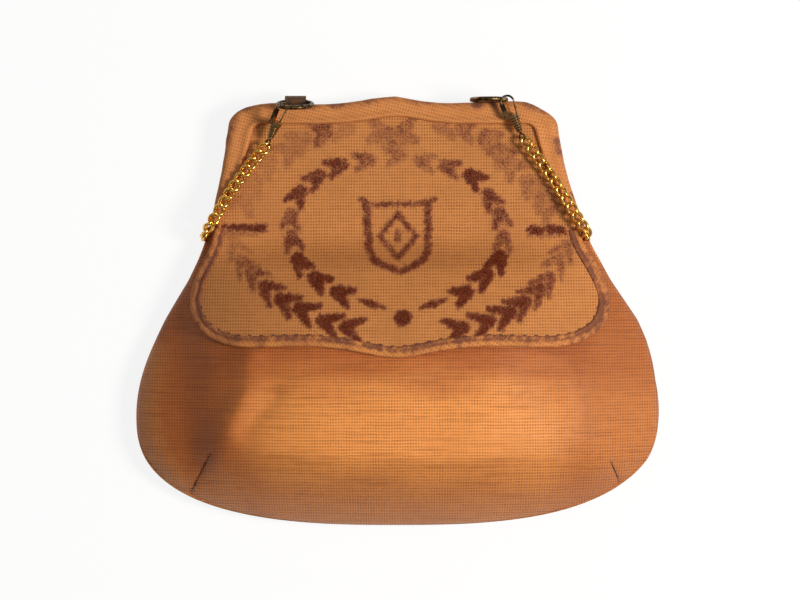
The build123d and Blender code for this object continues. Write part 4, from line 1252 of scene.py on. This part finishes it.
def tuft_tree() -> bpy.types.GeometryNodeTree:
    """Build the node tree that plants tufts of pile on a surface."""
    tree, sheet, given = new_tree("pile tufts", TUFT_INPUTS)
    seed = given["Seed"]
    amount = sheet.out("GeometryNodeInputNamedAttribute", {"Name": "pile"}, data_type="FLOAT")
    thick = sheet.ramp(amount, 0.38, 0.85)
    density = sheet.times(thick, given["Density"])
    inputs = {"Mesh": given["Geometry"], "Density": density, "Seed": seed}
    spread = sheet.add("GeometryNodeDistributePointsOnFaces", inputs)
    inputs = {"Vertices": 3, "Radius Top": 0.0, "Radius Bottom": given["Radius"], "Depth": given["Length"]}
    cone = sheet.add("GeometryNodeMeshCone", inputs, fill_type="NONE")
    low = sheet.times(given["Lean"], -1.0)
    lows = sheet.out("ShaderNodeCombineXYZ", {0: low, 1: low, 2: -math.pi})
    highs = sheet.out("ShaderNodeCombineXYZ", {0: given["Lean"], 1: given["Lean"], 2: math.pi})
    inputs = {0: lows, 1: highs, "Seed": seed}
    turn = sheet.out("FunctionNodeRandomValue", inputs, data_type="FLOAT_VECTOR")
    size = sheet.add("FunctionNodeRandomValue", {2: 0.6, 3: 1.3, "Seed": seed}, data_type="FLOAT").outputs[1]
    inputs = {"Points": spread.outputs["Points"], "Instance": cone.outputs["Mesh"]}
    inputs |= {"Rotation": turn, "Scale": size}
    planted = sheet.out("GeometryNodeInstanceOnPoints", inputs)
    real = sheet.out("GeometryNodeRealizeInstances", {0: planted})
    inputs = {"Geometry": real, "Material": given["Material"]}
    sheet.add("NodeGroupOutput", {0: sheet.out("GeometryNodeSetMaterial", inputs)})
    return tree


def grow(made: bpy.types.Object, tree: bpy.types.GeometryNodeTree, **inputs) -> None:
    """Run a node tree on an object and keep the result as its mesh.

    Args:
        made: The object.
        tree: The node tree.
        **inputs: The tree's inputs, with _ for spaces.
    """
    modifier = made.modifiers.new(tree.name, "NODES")
    modifier.node_group = tree
    for item in tree.interface.items_tree:
        key = item.name.replace(" ", "_")
        if item.in_out == "INPUT" and key in inputs:
            modifier[item.identifier] = inputs[key]
    bake(made)


# Section of the rolled binding: how far in from the flap's edge, then how far above its face
BINDING_SECTION: tuple[Point2, ...] = (
    (-0.25, -0.5), (-0.1, 0.3), (0.4, 0.85), (1.1, 1.1), (1.9, 1.1), (2.7, 0.8), (3.2, 0.5), (3.7, 0.75),
    (4.4, 0.85), (5.0, 0.6), (5.4, 0.1), (5.3, -0.4), (4.0, -1.2), (2.4, -1.9), (1.0, -1.9), (0.1, -1.3),
)


def bead_tree() -> bpy.types.GeometryNodeTree:
    """Build the node tree that sets ovals of wire, or stitches, along a line."""
    tree, sheet, given = new_tree("links along a line", LINK_INPUTS)
    line = sheet.out("GeometryNodeMeshToCurve", {0: given["Geometry"]})
    inputs = {"Curve": line, "Length": given["Pitch"]}
    spaced = sheet.out("GeometryNodeResampleCurve", inputs, mode="LENGTH")
    circle, wire = (
        sheet.out("GeometryNodeCurvePrimitiveCircle", {0: count, "Radius": radius}, mode="RADIUS")
        for count, radius in ((28, 1.0), (10, given["Wire Radius"]))
    )
    scale = sheet.out("ShaderNodeCombineXYZ", {0: given["Half Length"], 1: given["Half Width"], 2: 1.0})
    flat = sheet.out("GeometryNodeTransform", {"Geometry": circle, "Scale": scale})
    place = sheet.out("GeometryNodeInputPosition")
    along = sheet.out("ShaderNodeSeparateXYZ", {0: place})
    angle = sheet.times(sheet.math("DIVIDE", along, given["Half Length"]), given["Twist"])
    inputs = {"Vector": place, "Angle": angle}
    wound = sheet.out("ShaderNodeVectorRotate", inputs, rotation_type="X_AXIS")
    oval = sheet.out("GeometryNodeSetPosition", {"Geometry": flat, "Position": wound})
    link = sheet.out("GeometryNodeCurveToMesh", {"Curve": oval, "Profile Curve": wire})
    way = sheet.out("GeometryNodeInputTangent")
    lying = sheet.out("FunctionNodeAlignRotationToVector", {"Vector": way}, axis="X")
    inputs = {"Axis": (1, 0, 0), "Angle": given["Roll"]}
    turn = sheet.out("FunctionNodeAxisAngleToRotation", inputs)
    turned = sheet.out("FunctionNodeRotateRotation", {0: lying, 1: turn}, rotation_space="LOCAL")
    inputs = {"Points": spaced, "Instance": link, "Rotation": turned}
    set_out = sheet.out("GeometryNodeInstanceOnPoints", inputs)
    real = sheet.out("GeometryNodeRealizeInstances", {0: set_out})
    smooth = sheet.out("GeometryNodeSetShadeSmooth", {0: real})
    inputs = {"Geometry": smooth, "Material": given["Material"]}
    sheet.add("NodeGroupOutput", {0: sheet.out("GeometryNodeSetMaterial", inputs)})
    return tree


def beads(
    name: str, line: Array, finish: Finish, tree: bpy.types.GeometryNodeTree, **inputs
) -> bpy.types.Object:
    """Set links along a line of points in millimetres."""
    mesh = bpy.data.meshes.new(name)
    mesh.from_pydata((line * MM).tolist(), [(i, i + 1) for i in range(len(line) - 1)], [])
    made = placed(name, mesh)
    grow(made, tree, Material=PALETTE.get(finish), **inputs)
    return made


@dataclass(frozen=True)
class ChainRun:
    """A stretch of chain: its piece, its node, its way and how it moves."""

    name: str
    node: str
    points: tuple[Point3, ...]
    bends: bool


def eye_centre(origin: Point3, along: Point3) -> Array:
    """Return the middle of a clip's eye."""
    return np.array(origin) + EYE_DISTANCE * np.array(along)


LEFT_EYE = eye_centre((-56.2958, 100.887, 27.5881), (-0.362437, -0.878993, -0.309858))
RIGHT_EYE = eye_centre((54.8, 104.7, 21.9492), (0.400775, -0.914589, -0.053908))


def front_run(side: int, eye: Array) -> tuple[Point3, ...]:
    """Lay out a front chain, from just past its clip's eye to the bag's edge."""
    way = np.array([side * 83.0, 58.0, 20.65]) - eye
    start = eye + way / np.linalg.norm(way) * FIRST_LINK_GAP
    places = ((83.0, 58.0, 20.65), (92.5, 42.5, 20.35), (95.3, 38.2, 16.65), (95.4, 37.0, 12.6))
    return (tuple(start), *((side * x, y, z) for x, y, z in places))


BACK_HALF: tuple[Point3, ...] = (
    (95.4, 37.0, 9.4), (94.6, 38.2, 6.2), (89.0, 43.0, 2.2), (74.0, 54.0, 2.2), (45.0, 69.0, 2.2),
    (0.0, 78.0, 2.2),
)
BACK_RUN: tuple[Point3, ...] = tuple((-x, y, z) for x, y, z in BACK_HALF[:-1]) + BACK_HALF[::-1]
CHAIN_RUNS: tuple[ChainRun, ...] = (
    ChainRun("chain_left_links", "chain_left", front_run(-1, LEFT_EYE), True),
    ChainRun("chain_right_links", "chain_right", front_run(1, RIGHT_EYE), True),
    ChainRun("chain_back_links", "chain_back", BACK_RUN, False),
)


@dataclass(frozen=True)
class Chain:
    """The curb chain of the handle, in three stretches."""

    pitch: float = 4.7
    half_length: float = 3.1
    half_width: float = 2.3
    wire: float = 1.75
    twist: float = 42.0
    roll: float = 12.0
    line_points: int = 300
    runs: tuple[ChainRun, ...] = CHAIN_RUNS
    finish: Finish = CHAIN_GILT

    def build(self, tree: bpy.types.GeometryNodeTree) -> None:
        """Make the three stretches of chain."""
        for run in self.runs:
            made = beads(
                run.name, cubic_path(list(run.points), self.line_points), self.finish, tree,
                Pitch=self.pitch * MM, Half_Length=self.half_length * MM, Half_Width=self.half_width * MM,
                Wire_Radius=self.wire / 2 * MM, Twist=math.radians(self.twist), Roll=math.radians(self.roll),
            )
            if run.bends:
                Bend.CHAIN.bend(made)
            else:
                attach(made, Body.BAG.value)
            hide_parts(run.node)
            report(made)


@dataclass(frozen=True)
class Flap:
    """The apron flap: its ground cloth, its worn pile, its rolled binding and its stitches."""

    thickness: float = 1.2
    ground_step: float = 0.8
    pile_step: float = 1.0
    least_pile: float = 0.12
    tufts_per_square_metre: float = 5.2e6
    tuft_length: float = 0.75
    tuft_radius: float = 0.24
    tuft_lean: float = 0.75
    seed: int = 7
    stitch_pitch: float = 5.8
    stitch_inset: float = 5.5
    stitch_half_length: float = 0.7
    stitch_half_width: float = 0.12
    thread_radius: float = 0.28
    finish: Finish = FLAP_CLOTH
    pile_finish: Finish = PILE
    binding_finish: Finish = BINDING_CLOTH
    stitch_finish: Finish = STITCH

    def build(self, tree: bpy.types.GeometryNodeTree) -> None:
        """Build the flap's pieces in order; the tree sets its stitches."""
        self.ground()
        self.pile()
        self.binding()
        self.stitches(tree)

    def ground(self) -> None:
        """Make the flap's cloth, whose stain is the pile's woven foot."""
        x, y, amount, faces = FlapGrid(self.ground_step).lay()
        z = flap_face(x, y) + 0.12 * amount
        surface = Surface(np.stack([x, y, z], 1), faces, {"stain_and_shade": amount * 0.9})
        made = surface.build("flap_cloth", self.finish, self.thickness)
        Bend.FLAP.bend(made)
        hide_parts("flap")
        report(made)

    def pile(self) -> None:
        """Make the pile of the wreaths, the shield and the sprigs."""
        x, y, amount, faces = FlapGrid(self.pile_step).lay(floor=self.least_pile)
        z = flap_face(x, y) + 0.2
        made = Surface(np.stack([x, y, z], 1), faces, {"pile": amount}).build("flap_pile", self.pile_finish)
        grow(
            made, tuft_tree(), Density=self.tufts_per_square_metre, Length=self.tuft_length * MM,
            Radius=self.tuft_radius * MM, Lean=self.tuft_lean, Seed=self.seed,
            Material=PALETTE.get(self.pile_finish),
        )
        Bend.FLAP.bend(made)
        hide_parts("flap_wreath")
        report(made)

    def binding(self) -> None:
        """Make the rolled strip round the flap's free edge."""
        line = apron_edge()
        along = np.linspace(0, 1, len(line))
        section = np.array(BINDING_SECTION)
        offset, rise = section[:, 0][None, :], section[:, 1][None, :]
        pinch = 1 - 0.35 * smoothstep((0.03 - np.minimum(along, 1 - along)) / 0.03)
        grid = np.stack([inset(line, float(o)) for o in section[:, 0]], 1)
        x, y = grid[:, :, 0], grid[:, :, 1]
        puffed = np.where(rise > 0, rise * (1 + 0.3 * wobble(along[:, None] * 300, offset * 2, 13, 41)), rise)
        z = flap_face(x, y) + puffed * pinch[:, None]
        x = x + 0.25 * wobble(along[:, None] * 300, 0 * rise, 9, 42) * np.clip(rise, 0, None)
        # Painted shade in the binding's crease and on its inner half; the mottle is real stains, and it
        # darkens towards the sides
        crease = np.exp(-(((offset - 3.2) / 0.6) ** 2))
        inner = smoothstep((offset - 2.0) / 1.6)
        side = smoothstep((np.abs(x) - 70) / 25)
        mottle = 0.34 * wobble(x, y, 15, 43) + 0.26 * wobble(x, y, 5, 44)
        stain_and_shade = np.clip(0.08 + mottle + 0.25 * crease + 0.42 * inner + 0.2 * side, 0, 1)
        surface = swept(np.stack([x, y, z], 2), {"stain_and_shade": stain_and_shade})
        made = surface.build("flap_binding_strip", self.binding_finish)
        Bend.FLAP.bend(made)
        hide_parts("flap_binding")
        report(made)

    def stitches(self, tree: bpy.types.GeometryNodeTree) -> None:
        """Make the stitches that show along the binding's inner side."""
        line = inset(apron_edge(), self.stitch_inset)[60:360]
        z = flap_face(line[:, 0], line[:, 1]) + 0.1
        made = beads(
            "flap_stitches", settled(np.column_stack([line, z])), self.stitch_finish, tree,
            Pitch=self.stitch_pitch * MM, Half_Length=self.stitch_half_length * MM,
            Half_Width=self.stitch_half_width * MM, Wire_Radius=self.thread_radius * MM, Twist=0.0, Roll=0.0,
        )
        Bend.FLAP.bend(made)
        report(made)


CLIP_PARTS = ("ring", "clip_body", "clip_gate", "clip_pin", "clip_eye")
HARDWARE: dict[str, Finish] = {
    "front_frame": FRAME_STEEL, "back_frame": FRAME_STEEL, "front_board": BOARD, "back_board": BOARD,
    "left_hinge_rivet": ANTIQUE_BRASS, "right_hinge_rivet": ANTIQUE_BRASS, "catch_stud": ANTIQUE_BRASS,
    "catch_socket": ANTIQUE_BRASS, "left_ring_tab": TAB_LEATHER, "right_ring_tab": TAB_LEATHER,
    **{f"{side}_{part}": ANTIQUE_BRASS for side in ("left", "right") for part in CLIP_PARTS},
}


@dataclass(frozen=True)
class Hardware:
    """The frame's own nodes, which are shown as they are, and the right tab's slimmer loop."""

    tab_y: float = 104.7
    tab_slimness: float = 0.45

    def build(self) -> None:
        """Dress the nodes and make the slimmer loop."""
        self.dress()
        self.slim_tab()

    def dress(self) -> None:
        """Give the frame's own nodes, which are shown as they are, their finishes."""
        for name, finish in HARDWARE.items():
            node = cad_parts[name]
            node.data.materials.clear()
            node.data.materials.append(PALETTE.get(finish))
            report(node)

    def slim_tab(self) -> None:
        """Show the right tab as a flatter loop, which its ring hides from the front."""
        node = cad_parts["right_ring_tab"]
        mesh = node.data.copy()
        points = np.zeros(len(mesh.vertices) * 3)
        mesh.vertices.foreach_get("co", points)
        points = points.reshape(-1, 3)
        middle = self.tab_y * MM
        points[:, 1] = middle + (points[:, 1] - middle) * self.tab_slimness
        mesh.vertices.foreach_set("co", points.ravel())
        made = placed("right_tab_loop", mesh)
        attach(made, Body.FRONT.value)
        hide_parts("right_ring_tab")
        report(made)


# Room


@dataclass(frozen=True)
class Lamp:
    """A square soft light aimed at the bag."""

    name: str
    place: Point3
    size: float
    power: float
    colour: str = "#ffffff"

    def build(self) -> None:
        """Put the lamp in the scene."""
        data = bpy.data.lights.new(self.name, "AREA")
        data.size, data.energy, data.color = self.size, self.power, linear(self.colour)[:3]
        lamp = placed(self.name, data)
        lamp.location = self.place
        lamp.rotation_euler = (Vector((0, 0, 0.02)) - Vector(self.place)).to_track_quat("-Z", "Y").to_euler()


LAMPS: tuple[Lamp, ...] = (
    Lamp("key", (1.02, -0.08, 1.2), 0.42, 25.0, "#fffaf3"),
    Lamp("fill", (-0.7, 0.5, 1.6), 1.2, 3.0),
)


@dataclass(frozen=True)
class Room:
    """White floor and backdrop, the world's light and the lamps."""

    half_size: float = 3.0
    floor_z: float = -0.0002
    glow_share: float = 0.86
    sky_strength: float = 0.24
    lamps: tuple[Lamp, ...] = LAMPS

    def build(self) -> None:
        """Build the floor, the world and the lamps."""
        finish = Finish("floor", "")
        material, sheet = finish.sheet()
        path = sheet.add("ShaderNodeLightPath").outputs
        seen = sheet.math("MAXIMUM", path["Is Camera Ray"], path["Is Glossy Ray"])
        seen = sheet.math("MAXIMUM", seen, path["Is Transmission Ray"])
        matte = sheet.out("ShaderNodeBsdfDiffuse", {"Color": linear("#f7f7f7")})
        glow = sheet.out("ShaderNodeEmission", {"Color": linear("#ffffff"), "Strength": 1.0})
        share = sheet.times(seen, self.glow_share)
        mixed = sheet.out("ShaderNodeMixShader", {0: share, 1: matte, 2: glow})
        sheet.add("ShaderNodeOutputMaterial", {0: mixed})
        mesh = bpy.data.meshes.new("floor")
        half, low = self.half_size, self.floor_z
        corners = [(-half, -half, low), (half, -half, low), (half, half, low), (-half, half, low)]
        mesh.from_pydata(corners, [], [(0, 1, 2, 3)])
        mesh.materials.append(material)
        placed("floor", mesh)
        world = bpy.data.worlds.new("studio")
        world.use_nodes = True
        world.node_tree.nodes.clear()
        sky = NodeSheet(world.node_tree)
        inputs = {"Color": linear("#fbfbff"), "Strength": self.sky_strength}
        sky.add("ShaderNodeOutputWorld", {0: sky.out("ShaderNodeBackground", inputs)})
        bpy.context.scene.world = world
        for lamp in self.lamps:
            lamp.build()


@dataclass(frozen=True)
class Eye:
    """The camera, straight above the bag. Its lengths are metres."""

    distance: float = 1.5
    view_width: float = 0.4
    view_plane_z: float = 0.015
    sensor: float = 36.0
    centre: Point2 = (0.002, 0.005)

    def build(self) -> None:
        """Put the camera straight above the bag."""
        data = bpy.data.cameras.new("camera")
        data.sensor_width = self.sensor
        data.lens = self.sensor * self.distance / self.view_width
        eye = placed("camera", data)
        eye.location = (*self.centre, self.view_plane_z + self.distance)
        bpy.context.scene.camera = eye


def main() -> None:
    """Build the bag's looks and the room."""
    logging.basicConfig(level=logging.INFO)
    bpy.context.scene.view_settings.view_transform = "Standard"
    tree = bead_tree()
    Hardware().build()
    Pouch().build()
    for cover in FRAME_COVERS:
        cover.build()
    Flap().build(tree)
    Chain().build(tree)
    Room().build()
    Eye().build()


if __name__ == "__main__":
    main()
